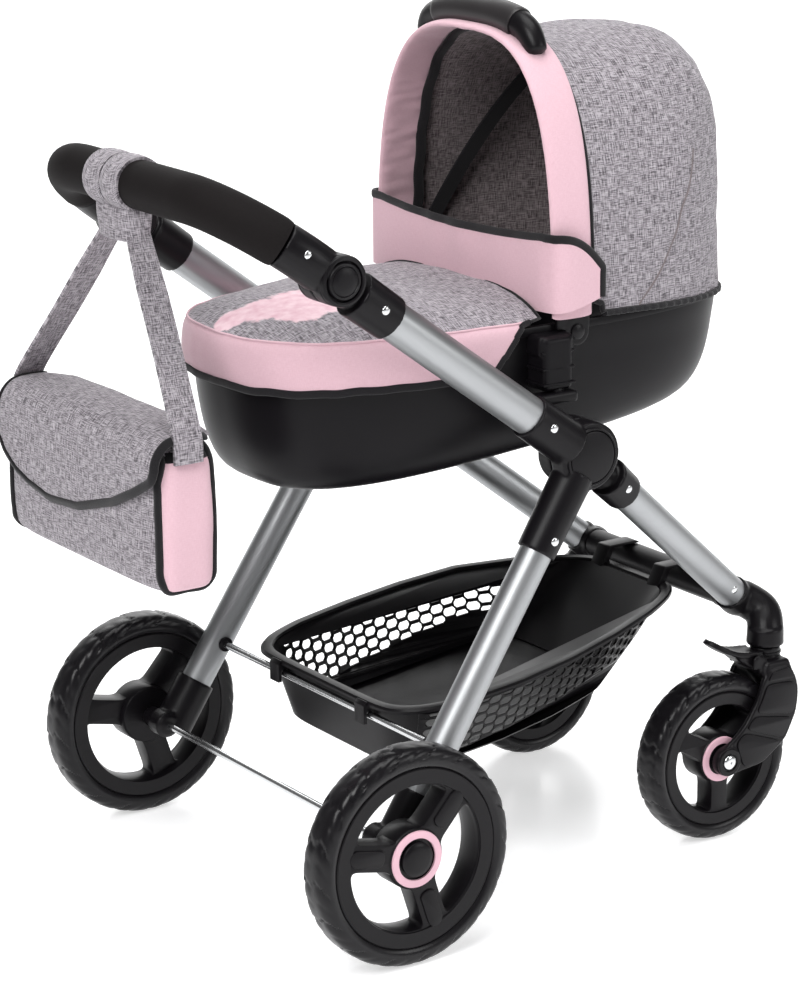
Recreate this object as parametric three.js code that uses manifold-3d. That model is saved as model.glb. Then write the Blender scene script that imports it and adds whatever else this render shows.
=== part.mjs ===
// A doll's pram: a folding tube frame on two fixed rear wheels and two swivelling front wheels,
// with a lift-off carrycot, a folding hood, a tilting handle, a shopping tray and a shoulder bag.
// Millimetres. +X is the way the pram is pushed, +Y is its left side, +Z is up, and the floor is z = 0.
// Sizes along X are measured from the rear axle, and the whole part is centred at the end.
import * as THREE from 'three';
import { mergeVertices } from 'three/addons/utils/BufferGeometryUtils.js';
import Module from 'manifold-3d';

const wasm = await Module();
wasm.setup();

// ---------------------------------------------------------------- driving dimensions
const CENTRE_X = 134.37;           // middle of the overall length, from the rear axle
const GAP = 0.3;                   // air between parts that only touch
const SLIP = 0.5;                  // air round a part that turns or slides in another

const REAR_WHEEL_R = 85;
const REAR_WHEEL_Y = 197;
const FRONT_WHEEL_R = 69;
const FRONT_WHEEL_X = 347;
const FRONT_WHEEL_Y = 125;
const TYRE_WIDTH = 30;
const TYRE_DEPTH = 21;             // from the tread to the rim
const RIM_WALL = 6.5;
const SPOKE_WIDTH = 21;
const SPOKE_THICK = 13;
const AXLE_R = 3;

const HUB = [190.8, 352.3];        // x, z of the frame's folding axis
const HUB_Y = 157.5;
const HUB_R = 27;
const CAP_R = 21;
const CAP_THICK = 2;
const HUB_RECESS_R = 24;
const FOLD_ROOM = 46;              // reach of the space kept clear for the front arm's neck
const HUB_OUT = 168;               // outer face of the hub moulding
const HUB_SPLIT = 150;             // between the fixed moulding and the folding front arm
const HUB_IN = 133.7;
const KNOB = [-27.6, 513.6];       // x, z of the handle's tilting axis
const KNOB_Y = 148.4;
const KNOB_R = 19.5;
const KNUCKLE_PLATE = 15.5;        // thickness of each half of the tilting joint
const LEG_FOOT = [15.4, 86.5];     // x, z of the leg's lower end
const LEG_FOOT_Y = 163.9;
const ELBOW = [400, 181.4];        // x, z that the front tube points at
const ELBOW_Y = 97.6;
const HANDLE_TUBE_R = 15;
const LEG_TUBE_R = 12.8;
const TUBE_WALL = 1.5;
const SOCKET_WALL = 2.9;
const SOCKET_DEPTH = 26;           // how far a tube goes into its moulding
const HANDLE_SOCKET = 63;          // lengths of the hub's three arms, from its axis
const LEG_SOCKET = 84;
const FRONT_SOCKET = 66;

const HANDLE_REACH = 92;           // from the tilting axis to the middle of the cross grip
const HANDLE_CORNER_R = 73;
const GRIP_R = 18.5;
const UPPER_KNUCKLE_R = 17.6;
const UPPER_KNUCKLE_ARC = 21;      // degrees of the handle's bend held by the upper knuckle

const BAR = [389, 191];            // x, z of the bar between the front elbows
const BAR_R = 12;
const BAR_HALF = 84;
const ROD = [54, 145.6];           // x, z of the rod that the tray hangs on
const ROD_R = 3;

const STEM_X = 402;
const STEM_R = 12.3;
const STEM_TOP = 153;
const FORK_PLATE = 5.5;

const COT_X = 186;                 // middle of the carrycot
const COT_HALF_LENGTH = 222;
const COT_HALF_WIDTH = 114;
const COT_TOP = 445;
const COT_BOTTOM = 327;
const COT_WALL = 2.8;
const COT_RISE = 0.085;            // slope of the carrycot's underside towards the hood
const COT_ROUND = 2.9;             // squareness of its plan: 2 is an ellipse
const POST_X = 187;                // the lift-off fitting
const POST_R = 6;
const POST_TOP = 417;
const APRON_TOP = 468;
const APRON_HEM = 413;
const APRON_END = 184;
const FLAP_TOP = 512;

const HINGE = [212, 438];          // x, z of the hood's folding axis
const BOW_HEIGHT = 224;
const BOW_HALF_WIDTH = 121;
const BOW_THICK = 4;
const BOW_FRONT = 190;
const BOW_BACK = 226;
const BOW_ROUND = 3;
const CANOPY_WALL = 2;
const MID_BOW_ANGLE = 60;          // degrees up from level
const MID_BOW_HEIGHT = 236;

const BAG_X = -121;                // middle of the bag's body
const BAG_Y = 18;
const BAG_HALF_WIDTH = 120;
const BAG_HALF_DEPTH = 27;
const BAG_BOTTOM = 284;
const BAG_TOP = 400;
const FLAP_HALF_WIDTH = 117.5;
const FLAP_MIDDLE = 364;           // height where the flap is widest
const FLAP_UP = [62, 3];           // height and squareness of its outline above and below that
const FLAP_DOWN = [44, 2.3];
const STRAP_WIDTH = 20;
const STRAP_THICK = 2.2;
const STRAP_BEND = 412;            // height where the strap leaves the bag's ends
const KNOT_LOW = 528;

const TRAY_BACK = 56;              // x of the tray's rear wall and front wall at the rim
const TRAY_FRONT = 360;
const TRAY_DEPTH = 60;
const TRAY_WALL = 2.4;
const TRAY_LIP = 5;
const TRAY_ROUND = 8;              // squareness of its plan
const TRAY_TAPER = [14, 82, 24];   // how far the rear, front and side walls come in at the floor
// The rim's half width and height, from its rear end to its front end.
const TRAY_RIM = [[108, 157], [119, 163], [122, 170], [119, 178], [109, 186], [88, 190], [60, 192]];

// ---------------------------------------------------------------- colours
const colour = (hex, roughness, metalness = 0) =>
  new THREE.MeshStandardMaterial({ color: hex, roughness, metalness });
const BLACK = colour(0x17161a, 0.45);
const TYRE = colour(0x141316, 0.7);
const SILVER = colour(0xa9abad, 0.32, 0.9);
const STEEL = colour(0xc4c6c8, 0.25, 1);
const PINK = colour(0xe8c0c9, 0.55);
const GREY = colour(0x96939a, 0.95);
const FOAM = colour(0x1b1a1d, 0.9);

// ---------------------------------------------------------------- helpers
const part = new THREE.Group();
part.name = 'doll_pram';

/** The closed solid that a geometry bounds, with its shared corners joined. */
function solid(geometry) {
  const bare = new THREE.BufferGeometry();
  bare.setAttribute('position', geometry.getAttribute('position').clone());
  if (geometry.index) bare.setIndex(geometry.index.clone());
  const joined = mergeVertices(bare, 1e-3);
  const corners = joined.index.array;
  const faces = [];
  for (let i = 0; i < corners.length; i += 3) {
    const [a, b, c] = [corners[i], corners[i + 1], corners[i + 2]];
    if (a !== b && b !== c && c !== a) faces.push(a, b, c);
  }
  const points = Float32Array.from(joined.getAttribute('position').array);
  if (volume(points, faces) < 0) faces.reverse();
  return new wasm.Manifold(new wasm.Mesh({
    numProp: 3, vertProperties: points, triVerts: Uint32Array.from(faces),
  }));
}

function volume(points, faces) {
  const [a, b, c] = [new THREE.Vector3(), new THREE.Vector3(), new THREE.Vector3()];
  let sum = 0;
  for (let i = 0; i < faces.length; i += 3) {
    a.fromArray(points, faces[i] * 3);
    b.fromArray(points, faces[i + 1] * 3);
    c.fromArray(points, faces[i + 2] * 3);
    sum += a.dot(b.cross(c));
  }
  return sum;
}

function add(name, body, material) {
  const mesh = body.getMesh();
  const geometry = new THREE.BufferGeometry();
  geometry.setAttribute('position', new THREE.BufferAttribute(mesh.vertProperties, 3));
  geometry.setIndex(new THREE.BufferAttribute(mesh.triVerts, 1));
  geometry.computeVertexNormals();
  const node = new THREE.Mesh(geometry, material);
  node.name = name;
  part.add(node);
  return node;
}

const union = (first, ...others) => others.reduce((sum, next) => sum.add(next), first);
const point = (xz, y) => new THREE.Vector3(xz[0], y, xz[1]);

/** A round bar from a to b. */
function rod(a, b, radius, sides = 16, endRadius = radius) {
  const way = b.clone().sub(a);
  const bar = new THREE.CylinderGeometry(endRadius, radius, way.length(), sides);
  bar.applyQuaternion(new THREE.Quaternion().setFromUnitVectors(
    new THREE.Vector3(0, 1, 0), way.clone().normalize()));
  bar.translate(...a.clone().add(b).multiplyScalar(0.5).toArray());
  return solid(bar);
}

/** A round bar across the pram, between y0 and y1. */
const crossRod = (xz, y0, y1, radius, sides = 18) =>
  rod(point(xz, Math.min(y0, y1)), point(xz, Math.max(y0, y1)), radius, sides);

function pipe(a, b, radius, wall, sides = 16) {
  const past = b.clone().sub(a).setLength(1);
  return rod(a, b, radius, sides).subtract(
    rod(a.clone().sub(past), b.clone().add(past), radius - wall, sides));
}

/** A plate with a side outline of [x, z] points, between y0 and y1. */
function plate(outline, y0, y1) {
  const shape = new THREE.Shape(outline.map(([x, z]) => new THREE.Vector2(x, z)));
  const flat = new THREE.ExtrudeGeometry(shape, {
    depth: Math.abs(y1 - y0), bevelEnabled: false,
  });
  flat.rotateX(Math.PI / 2);
  flat.translate(0, Math.max(y0, y1), 0);
  return solid(flat);
}

function box(x0, x1, y0, y1, z0, z1) {
  const block = new THREE.BoxGeometry(Math.abs(x1 - x0), Math.abs(y1 - y0), Math.abs(z1 - z0));
  block.translate((x0 + x1) / 2, (y0 + y1) / 2, (z0 + z1) / 2);
  return solid(block);
}

/** A closed skin through rings that all have the same number of points. */
function loft(rings, closed = false) {
  const count = rings[0].length;
  const points = rings.flat().flatMap((p) => [p.x, p.y, p.z]);
  const faces = [];
  const bands = closed ? rings.length : rings.length - 1;
  for (let r = 0; r < bands; r += 1) {
    for (let i = 0; i < count; i += 1) {
      const next = (i + 1) % count;
      const [a, b] = [r * count + i, r * count + next];
      const [c, d] = [((r + 1) % rings.length) * count + i, ((r + 1) % rings.length) * count + next];
      faces.push(a, b, d, a, d, c);
    }
  }
  if (!closed) {
    for (const [ring, turn] of [[0, 1], [rings.length - 1, -1]]) {
      const middle = new THREE.Vector3();
      rings[ring].forEach((p) => middle.addScaledVector(p, 1 / count));
      const centre = points.length / 3;
      points.push(middle.x, middle.y, middle.z);
      for (let i = 0; i < count; i += 1) {
        const [a, b] = [ring * count + i, ring * count + (i + 1) % count];
        faces.push(centre, turn > 0 ? b : a, turn > 0 ? a : b);
      }
    }
  }
  const skin = new THREE.BufferGeometry();
  skin.setAttribute('position', new THREE.Float32BufferAttribute(points, 3));
  skin.setIndex(faces);
  return solid(skin);
}

/** A closed sheet between an outer and an inner grid of points, both rows of the same length. */
function shell(outer, inner) {
  const [rows, columns] = [outer.length, outer[0].length];
  const points = [...outer.flat(), ...inner.flat()].flatMap((p) => [p.x, p.y, p.z]);
  const faces = [];
  const quad = (a, b, c, d) => faces.push(a, b, c, a, c, d);
  const at = (side, r, c) => (side * rows + r) * columns + c;
  for (let r = 0; r < rows - 1; r += 1) {
    for (let c = 0; c < columns - 1; c += 1) {
      quad(at(0, r, c), at(0, r, c + 1), at(0, r + 1, c + 1), at(0, r + 1, c));
      quad(at(1, r, c), at(1, r + 1, c), at(1, r + 1, c + 1), at(1, r, c + 1));
    }
    quad(at(0, r, 0), at(0, r + 1, 0), at(1, r + 1, 0), at(1, r, 0));
    quad(at(0, r + 1, columns - 1), at(0, r, columns - 1), at(1, r, columns - 1), at(1, r + 1, columns - 1));
  }
  for (let c = 0; c < columns - 1; c += 1) {
    quad(at(0, 0, c + 1), at(0, 0, c), at(1, 0, c), at(1, 0, c + 1));
    quad(at(0, rows - 1, c), at(0, rows - 1, c + 1), at(1, rows - 1, c + 1), at(1, rows - 1, c));
  }
  const skin = new THREE.BufferGeometry();
  skin.setAttribute('position', new THREE.Float32BufferAttribute(points, 3));
  skin.setIndex(faces);
  return solid(skin);
}

/** A round bar swept along a smooth curve through the points. */
function bend(points, radius, steps, sides = 16) {
  const ring = new THREE.Shape();
  ring.absarc(0, 0, radius, 0, 2 * Math.PI);
  return solid(new THREE.ExtrudeGeometry(ring, {
    steps, curveSegments: sides, bevelEnabled: false,
    extrudePath: new THREE.CatmullRomCurve3(points, false, 'centripetal'),
  }));
}

/** A ring of points round a rounded-rectangle plan; round is 2 for an ellipse. */
function planRing(halfLength, halfWidth, z, round, count, centre = [0, 0]) {
  const ring = [];
  for (let i = 0; i < count; i += 1) {
    const turn = 2 * Math.PI * i / count;
    const [c, s] = [Math.cos(turn), Math.sin(turn)];
    const x = centre[0] + halfLength * Math.sign(c) * Math.abs(c) ** (2 / round);
    const y = centre[1] + halfWidth * Math.sign(s) * Math.abs(s) ** (2 / round);
    ring.push(new THREE.Vector3(x, y, typeof z === 'function' ? z(x, y) : z));
  }
  return ring;
}

/** A body turned about the Y axis by a closed profile of [radius, y] points. */
function turned(profile, sides = 28) {
  const outline = [...profile, profile[0]].map(([r, y]) => new THREE.Vector2(r, y));
  return solid(new THREE.LatheGeometry(outline, sides));
}

/** The hollow at the end of a sleeve that takes a tube of the given radius. */
const socket = (end, way, radius) =>
  rod(along(end, way, -SOCKET_DEPTH - 1), along(end, way, 2), radius + GAP, 20);
const unit = (from, to) => to.clone().sub(from).normalize();
const along = (from, way, distance) => from.clone().addScaledVector(way, distance);

// ---------------------------------------------------------------- wheels
/** Adds a wheel's tyre, spoked rim and coloured ring. out is +1 or -1, the side its ring faces. */
function wheel(name, radius, x, y, out, hubRadius, ringRadius) {
  const half = TYRE_WIDTH / 2;
  const seat = radius - TYRE_DEPTH;
  const tyre = turned([
    [seat + GAP, -half + 2.5], [seat + 8, -half], [radius - 5, -half + 2], [radius, -half + 9],
    [radius, half - 9], [radius - 5, half - 2], [seat + 8, half], [seat + GAP, half - 2.5],
  ]);
  const hoop = turned([
    [seat - RIM_WALL, -half + 3.5], [seat, -half + 3], [seat, half - 3], [seat - RIM_WALL, half - 3.5],
  ]);
  const spokes = [90, 210, 330].map((turn) => {
    const bar = new THREE.BoxGeometry(seat - RIM_WALL / 2 - 10, SPOKE_THICK, SPOKE_WIDTH);
    bar.translate((seat - RIM_WALL / 2 + 10) / 2, 0, 0);
    bar.rotateY(THREE.MathUtils.degToRad(turn));
    return solid(bar);
  });
  const drum = crossRod([0, 0], -half + 2, half - 2, hubRadius, 20);
  const bore = crossRod([0, 0], -half, half, AXLE_R + SLIP);
  const face = out * (half - 2 + GAP);
  const ring = turned([
    [ringRadius - 5, face], [ringRadius, face], [ringRadius, face + out * 2],
    [ringRadius - 5, face + out * 2],
  ], 24);
  const nodes = [
    add(`${name}_tyre`, tyre, TYRE),
    add(`${name}_rim`, union(hoop, ...spokes, drum).subtract(bore), BLACK),
    add(`${name}_ring`, ring, PINK),
  ];
  nodes.forEach((node) => node.position.set(x, y, radius));
  return nodes;
}

for (const [side, out] of [['left', 1], ['right', -1]]) {
  wheel(`rear_wheel_${side}`, REAR_WHEEL_R, 0, out * REAR_WHEEL_Y, out, 24, 22);
  const face = TYRE_WIDTH / 2 - 2 + GAP;
  const dome = turned([[0, out * face], [16, out * face], [16, out * (face + 2.5)],
    [11, out * (face + 4)], [0, out * (face + 4.6)]], 24);
  add(`rear_wheel_${side}_cap`, dome, BLACK).position.set(0, out * REAR_WHEEL_Y, REAR_WHEEL_R);
  wheel(`front_wheel_${side}`, FRONT_WHEEL_R, FRONT_WHEEL_X, out * FRONT_WHEEL_Y, out, 21, 18.8);
}

// ---------------------------------------------------------------- frame
for (const [side, out] of [['left', 1], ['right', -1]]) {
  const hub = point(HUB, out * HUB_Y);
  const knob = point(KNOB, out * KNOB_Y);
  const foot = point(LEG_FOOT, out * LEG_FOOT_Y);
  const elbow = point(ELBOW, out * ELBOW_Y);
  const up = unit(hub, knob);
  const down = unit(hub, foot);
  const ahead = unit(hub, elbow);

  // The fixed hub moulding holds the handle tube and the rear leg.
  const handleSleeve = along(hub, up, HANDLE_SOCKET);
  const legSleeve = along(hub, down, LEG_SOCKET);
  const outer = union(
    crossRod(HUB, out * HUB_SPLIT, out * HUB_OUT, HUB_R, 24),
    rod(along(hub, up, 14), handleSleeve, HANDLE_TUBE_R + SOCKET_WALL, 20),
    rod(along(hub, down, 14), legSleeve, LEG_TUBE_R + SOCKET_WALL, 20),
  ).subtract(box(HUB[0] - 30, HUB[0] + 30, out * HUB_IN, out * HUB_SPLIT, HUB[1] - 30, HUB[1] + 30))
    .subtract(socket(handleSleeve, up, HANDLE_TUBE_R)).subtract(socket(legSleeve, down, LEG_TUBE_R))
    .subtract(crossRod(HUB, out * HUB_OUT, out * (HUB_OUT + 20), HUB_RECESS_R, 24))
    .subtract(box(HUB[0] - FOLD_ROOM, HUB[0] + 30, out * HUB_IN, out * HUB_SPLIT, HUB[1] - FOLD_ROOM, HUB[1]));
  add(`hub_${side}`, outer, BLACK);
  const capFace = out * (HUB_OUT + GAP);
  add(`hub_${side}_cap`, crossRod(HUB, capFace, capFace + out * CAP_THICK, CAP_R, 24), BLACK);

  // The handle tube runs from the hub up to the lower half of the tilting joint.
  const tubeTop = along(knob, up, -26);
  add(`handle_tube_${side}`,
    pipe(along(handleSleeve, up, -SOCKET_DEPTH), tubeTop, HANDLE_TUBE_R, TUBE_WALL), SILVER);
  const inner = out * (KNOB_Y - GAP - KNUCKLE_PLATE);
  const split = out * (KNOB_Y - GAP);
  const knuckle = union(
    crossRod(KNOB, inner, split, KNOB_R, 28),
    rod(along(knob, up, -21), along(knob, up, -60), HANDLE_TUBE_R + SOCKET_WALL, 20),
    rod(along(knob, up, -8), along(knob, up, -24), KNUCKLE_PLATE, 20, HANDLE_TUBE_R + SOCKET_WALL)
      .subtract(box(KNOB[0] - 60, KNOB[0] + 60, split, out * 200, KNOB[1] - 60, KNOB[1] + 60)),
  ).subtract(rod(along(knob, up, -25.5), along(knob, up, -62), HANDLE_TUBE_R + GAP, 20));
  add(`knuckle_lower_${side}`, knuckle, BLACK);

  // The rear leg ends in a foot moulding that the axle passes through.
  const legEnd = along(foot, down, -4);
  const rodHole = crossRod(ROD, out * 140, out * 161, ROD_R + GAP);
  const leg = pipe(along(legSleeve, down, -SOCKET_DEPTH), legEnd, LEG_TUBE_R, TUBE_WALL);
  add(`rear_leg_${side}`, leg.subtract(rodHole), SILVER);
  const wheelFace = REAR_WHEEL_Y - TYRE_WIDTH / 2;
  const axleHole = crossRod([0, REAR_WHEEL_R], out * 130, out * (wheelFace + 8), AXLE_R + GAP);
  const footBody = union(
    rod(along(foot, down, -34), along(foot, down, 12), LEG_TUBE_R + SOCKET_WALL + 0.6, 20),
    crossRod([0, REAR_WHEEL_R], out * 152, out * (wheelFace + 0.5), 8.5, 20),
  ).subtract(rod(along(foot, down, -36), along(legEnd, down, GAP), LEG_TUBE_R + GAP, 20))
    .subtract(axleHole);
  add(`leg_foot_${side}`, footBody, BLACK);

  // The fitting that the carrycot drops onto stands on the hub's handle arm.
  const shelf = handleSleeve.z - 2;
  const fitting = union(
    box(146, POST_X + 15, out * 122, out * 138, shelf, shelf + 9),
    rod(new THREE.Vector3(POST_X, out * 127, shelf + 4), new THREE.Vector3(POST_X, out * 127, POST_TOP),
      POST_R, 20),
  );
  add(`cot_fitting_${side}`, fitting, BLACK);

  // The front arm turns on the hub's inner side and holds the front tube.
  const sleeve = along(hub, ahead, FRONT_SOCKET);
  const neckEnd = along(hub, ahead, 44);
  const level = new THREE.Vector2(hub.z - elbow.z, elbow.x - hub.x).normalize();
  const [nx, nz] = [level.x, level.y];
  const neck = plate([
    [HUB[0] + nx * 24, HUB[1] + nz * 24], [neckEnd.x + nx * 15, neckEnd.z + nz * 15],
    [neckEnd.x - nx * 15, neckEnd.z - nz * 15], [HUB[0] - nx * 24, HUB[1] - nz * 24],
  ], out * HUB_IN, out * (HUB_SPLIT - SLIP));
  const arm = union(
    crossRod(HUB, out * HUB_IN, out * (HUB_SPLIT - SLIP), HUB_R, 24), neck,
    rod(along(hub, ahead, 38), sleeve, LEG_TUBE_R + SOCKET_WALL, 20),
  ).subtract(rod(along(sleeve, ahead, -22), along(sleeve, ahead, 2), LEG_TUBE_R + GAP, 20));
  add(`front_arm_${side}`, arm, BLACK);
  const tubeEnd = along(elbow, ahead, -22);
  add(`front_tube_${side}`,
    pipe(along(sleeve, ahead, -21), tubeEnd, LEG_TUBE_R, TUBE_WALL), SILVER);

  // The elbow turns the front tube down to the caster's stem and carries the front bar.
  const bow = bend([
    along(tubeEnd, ahead, GAP), along(tubeEnd, ahead, 12), new THREE.Vector3(399, out * 101, 186),
    new THREE.Vector3(408, out * 113, 177), new THREE.Vector3(404, out * 123, 165),
    new THREE.Vector3(STEM_X, out * 125, STEM_TOP + SLIP),
  ], 14, 10, 7);
  const foreEnd = union(
    bow, crossRod(BAR, out * (BAR_HALF + GAP), out * 101, BAR_R - 1),
    rod(point([STEM_X, STEM_TOP + SLIP], out * FRONT_WHEEL_Y), point([STEM_X, 166], out * FRONT_WHEEL_Y), 15, 24),
  );
  const tubeRoom = rod(along(tubeEnd, ahead, -12), along(tubeEnd, ahead, GAP), HANDLE_TUBE_R + 2);
  const forkRoom = box(STEM_X - 25, STEM_X + 25, out * 100, out * 150, 130, STEM_TOP + SLIP);
  add(`front_elbow_${side}`, foreEnd.subtract(tubeRoom).subtract(forkRoom), BLACK);

  // The caster's fork straddles the wheel, and carries the wheel's pin.
  const wy = out * FRONT_WHEEL_Y;
  const plateIn = TYRE_WIDTH / 2 + 2;
  const cheek = [
    [392, 138], [412, 138], [418, 128], [421, 116], [419, 98], [408, 76], [384, 60], [352, 56.5],
    [340, 59], [334, 68], [338, 78], [352, 84], [366, 96], [378, 114], [384, 132],
  ];
  const cheeks = [-1, 1].map((s) => plate(cheek, wy + s * plateIn, wy + s * (plateIn + FORK_PLATE)));
  const crown = plate([
    [384, 133], [389, 144], [412, 144], [417, 131], [420.5, 117], [419, 106],
    [414, 106], [407, 118], [398, 128], [390, 132],
  ], wy - plateIn - 1, wy + plateIn + 1);
  const bosses = [-1, 1].map((s) => crossRod([FRONT_WHEEL_X, FRONT_WHEEL_R],
    wy + s * (TYRE_WIDTH / 2 + 0.8), wy + s * (plateIn + FORK_PLATE + 1.5), 11, 24));
  const pin = crossRod([FRONT_WHEEL_X, FRONT_WHEEL_R], wy - plateIn - 2, wy + plateIn + 2, AXLE_R);
  const stem = rod(new THREE.Vector3(STEM_X, wy, 140), new THREE.Vector3(STEM_X, wy, STEM_TOP), STEM_R, 24);
  const ears = [-1, 1].map((s) => plate([[378, 139], [378, 149], [384, 151.5], [391, 147], [391, 136]],
    wy + s * 12.8, wy + s * 16.5));
  const tie = box(386, 394, wy - 16, wy + 16, 134, 140.5);
  add(`fork_${side}`, union(crown, ...cheeks, ...bosses, pin, stem, ...ears, tie), BLACK);

  // The swivel lock is a paddle that lifts behind the stem.
  const paddle = plate([
    [386.6, 143], [387, 148], [382, 150], [372, 151], [361, 154], [352, 158.5], [347, 157],
    [349, 152], [360, 147], [372, 143], [382, 141.5],
  ], wy - 12, wy + 12);
  add(`lock_lever_${side}`, paddle, BLACK);
}

const axleHalf = REAR_WHEEL_Y + 9;
add('rear_axle', crossRod([0, REAR_WHEEL_R], -axleHalf, axleHalf, AXLE_R), STEEL);
add('tray_rod', crossRod(ROD, -160, 160, ROD_R), STEEL);
add('front_bar', crossRod(BAR, -BAR_HALF, BAR_HALF, BAR_R), BLACK);

// ---------------------------------------------------------------- handle
const reach = unit(point(HUB, HUB_Y), point(KNOB, HUB_Y));
/** A point of the handle's centre line: a turn of the bend in degrees, on the right side. */
function handlePoint(turn, out) {
  const t = THREE.MathUtils.degToRad(turn);
  const u = HANDLE_REACH - HANDLE_CORNER_R * (1 - Math.sin(t));
  const y = out * (KNOB_Y - HANDLE_CORNER_R * (1 - Math.cos(t)));
  return new THREE.Vector3(KNOB[0] + reach.x * u, y, KNOB[1] + reach.z * u);
}
/** The part of a body on one side of the joint between the grip and an upper knuckle. */
function trim(body, out, way) {
  const t = THREE.MathUtils.degToRad(UPPER_KNUCKLE_ARC);
  const normal = reach.clone().multiplyScalar(Math.cos(t) * way);
  normal.y -= out * Math.sin(t) * way;
  return body.trimByPlane(normal.toArray(), normal.dot(handlePoint(UPPER_KNUCKLE_ARC, out)) + GAP / 2);
}
const gripTurns = [UPPER_KNUCKLE_ARC - 4, 27, 34, 43, 54, 66, 78, 90];
const grip = bend([
  ...gripTurns.map((turn) => handlePoint(turn, -1)), new THREE.Vector3(
    KNOB[0] + reach.x * HANDLE_REACH, 0, KNOB[1] + reach.z * HANDLE_REACH),
  ...gripTurns.toReversed().map((turn) => handlePoint(turn, 1)),
], GRIP_R, 28, 8);
add('handle_grip', trim(trim(grip, 1, 1), -1, 1), FOAM);

for (const [side, out] of [['left', 1], ['right', -1]]) {
  const knob = point(KNOB, out * KNOB_Y);
  const face = out * (KNOB_Y + GAP);
  const outer = out * (KNOB_Y + GAP + KNUCKLE_PLATE + 2);
  const sleeve = bend([
    along(knob, reach, 8), along(knob, reach, 14), handlePoint(4, out), handlePoint(12, out),
    handlePoint(UPPER_KNUCKLE_ARC, out), handlePoint(UPPER_KNUCKLE_ARC + 4, out),
  ], UPPER_KNUCKLE_R, 7, 8);
  const innerHalf = crossRod(KNOB, out * 100, face, KNOB_R + 2.5, 20);
  const buttonHole = crossRod(KNOB, out * (KNOB_Y + 9), out * 180, 14 + SLIP, 20);
  const upperHalf = union(trim(sleeve, out, -1).subtract(innerHalf), crossRod(KNOB, face, outer, KNOB_R, 20));
  add(`knuckle_upper_${side}`, upperHalf.subtract(buttonHole), BLACK);
  add(`tilt_button_${side}`,
    crossRod(KNOB, out * (KNOB_Y + 12.5), out * (KNOB_Y + GAP + KNUCKLE_PLATE + 3.6), 14, 20), BLACK);
}

// ---------------------------------------------------------------- carrycot
const COT_POINTS = 28;
const sink = (z) => (x) => z + COT_RISE * (x - 50) * (COT_TOP - z) / (COT_TOP - COT_BOTTOM);
const cotRing = (inset, widthInset, z) =>
  planRing(COT_HALF_LENGTH - inset, COT_HALF_WIDTH - widthInset, sink(z), COT_ROUND, COT_POINTS, [COT_X, 0]);
const tubShell = loft([
  cotRing(120, 80, COT_BOTTOM), cotRing(62, 50, COT_BOTTOM), cotRing(38, 29, COT_BOTTOM + 7),
  cotRing(19, 15, COT_BOTTOM + 24), cotRing(8, 6, COT_BOTTOM + 50), cotRing(2, 2, COT_BOTTOM + 85),
  cotRing(0, 0, COT_TOP - 8), cotRing(-1, -1, COT_TOP - 7), cotRing(-1, -1, COT_TOP),
  cotRing(COT_WALL, COT_WALL, COT_TOP), cotRing(COT_WALL + 2, COT_WALL + 2, COT_BOTTOM + 85),
  cotRing(COT_WALL + 8, COT_WALL + 6, COT_BOTTOM + 50), cotRing(COT_WALL + 19, COT_WALL + 15, COT_BOTTOM + 25),
  cotRing(COT_WALL + 38, COT_WALL + 29, COT_BOTTOM + 7 + COT_WALL),
  cotRing(64, 52, COT_BOTTOM + COT_WALL), cotRing(120, 80, COT_BOTTOM + COT_WALL),
]);
const tubFittings = [-1, 1].flatMap((out) => [
  box(POST_X - 16, POST_X + 13, out * 108, out * 135, shelfTop(), 440),
  crossRod(HINGE, out * 106, out * 116.7, 12.5, 24),
]);
const postHoles = [-1, 1].map((out) => rod(new THREE.Vector3(POST_X, out * 127, 380),
  new THREE.Vector3(POST_X, out * 127, POST_TOP + 4), POST_R + SLIP, 20));
const cotInside = loft([cotRing(COT_WALL + 1, COT_WALL + 1, COT_TOP + 5),
  cotRing(COT_WALL + 3, COT_WALL + 3, COT_BOTTOM + 84), cotRing(COT_WALL + 9, COT_WALL + 7, COT_BOTTOM + 50)]);
add('cot_tub', union(tubShell, ...tubFittings.map((f) => f.subtract(cotInside)))
  .subtract(postHoles[0]).subtract(postHoles[1]), BLACK);

/** The height of the top of the lift-off fitting's shelf, with its clearance. */
function shelfTop() {
  const hub = point(HUB, HUB_Y);
  return along(hub, unit(hub, point(KNOB, KNOB_Y)), HANDLE_SOCKET).z - 2 + 9 + SLIP;
}

// The apron covers the foot end: a hemmed band round the tub and a padded top.
const apronRing = (out, z) =>
  planRing(COT_HALF_LENGTH + out, COT_HALF_WIDTH + out, z, COT_ROUND, COT_POINTS, [COT_X, 0]);
const apronShell = loft([
  apronRing(-110, APRON_TOP), apronRing(-50, APRON_TOP - 3), apronRing(-16, APRON_TOP - 8),
  apronRing(0, APRON_TOP - 13), apronRing(5, APRON_TOP - 20), apronRing(6, APRON_TOP - 38),
  apronRing(4.5, APRON_HEM), apronRing(2, APRON_HEM), apronRing(3.3, APRON_TOP - 38),
  apronRing(2.3, APRON_TOP - 20), apronRing(-3, APRON_TOP - 15.5), apronRing(-18, APRON_TOP - 10.6),
  apronRing(-51, APRON_TOP - 5.6), apronRing(-110, APRON_TOP - 2.6),
]);
const apronCut = plate([[APRON_END, 600], [APRON_END, 449], [166, 449], [140, 400], [600, 400], [600, 600]],
  -200, 200);
add('apron', apronShell.subtract(apronCut), GREY);

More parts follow.
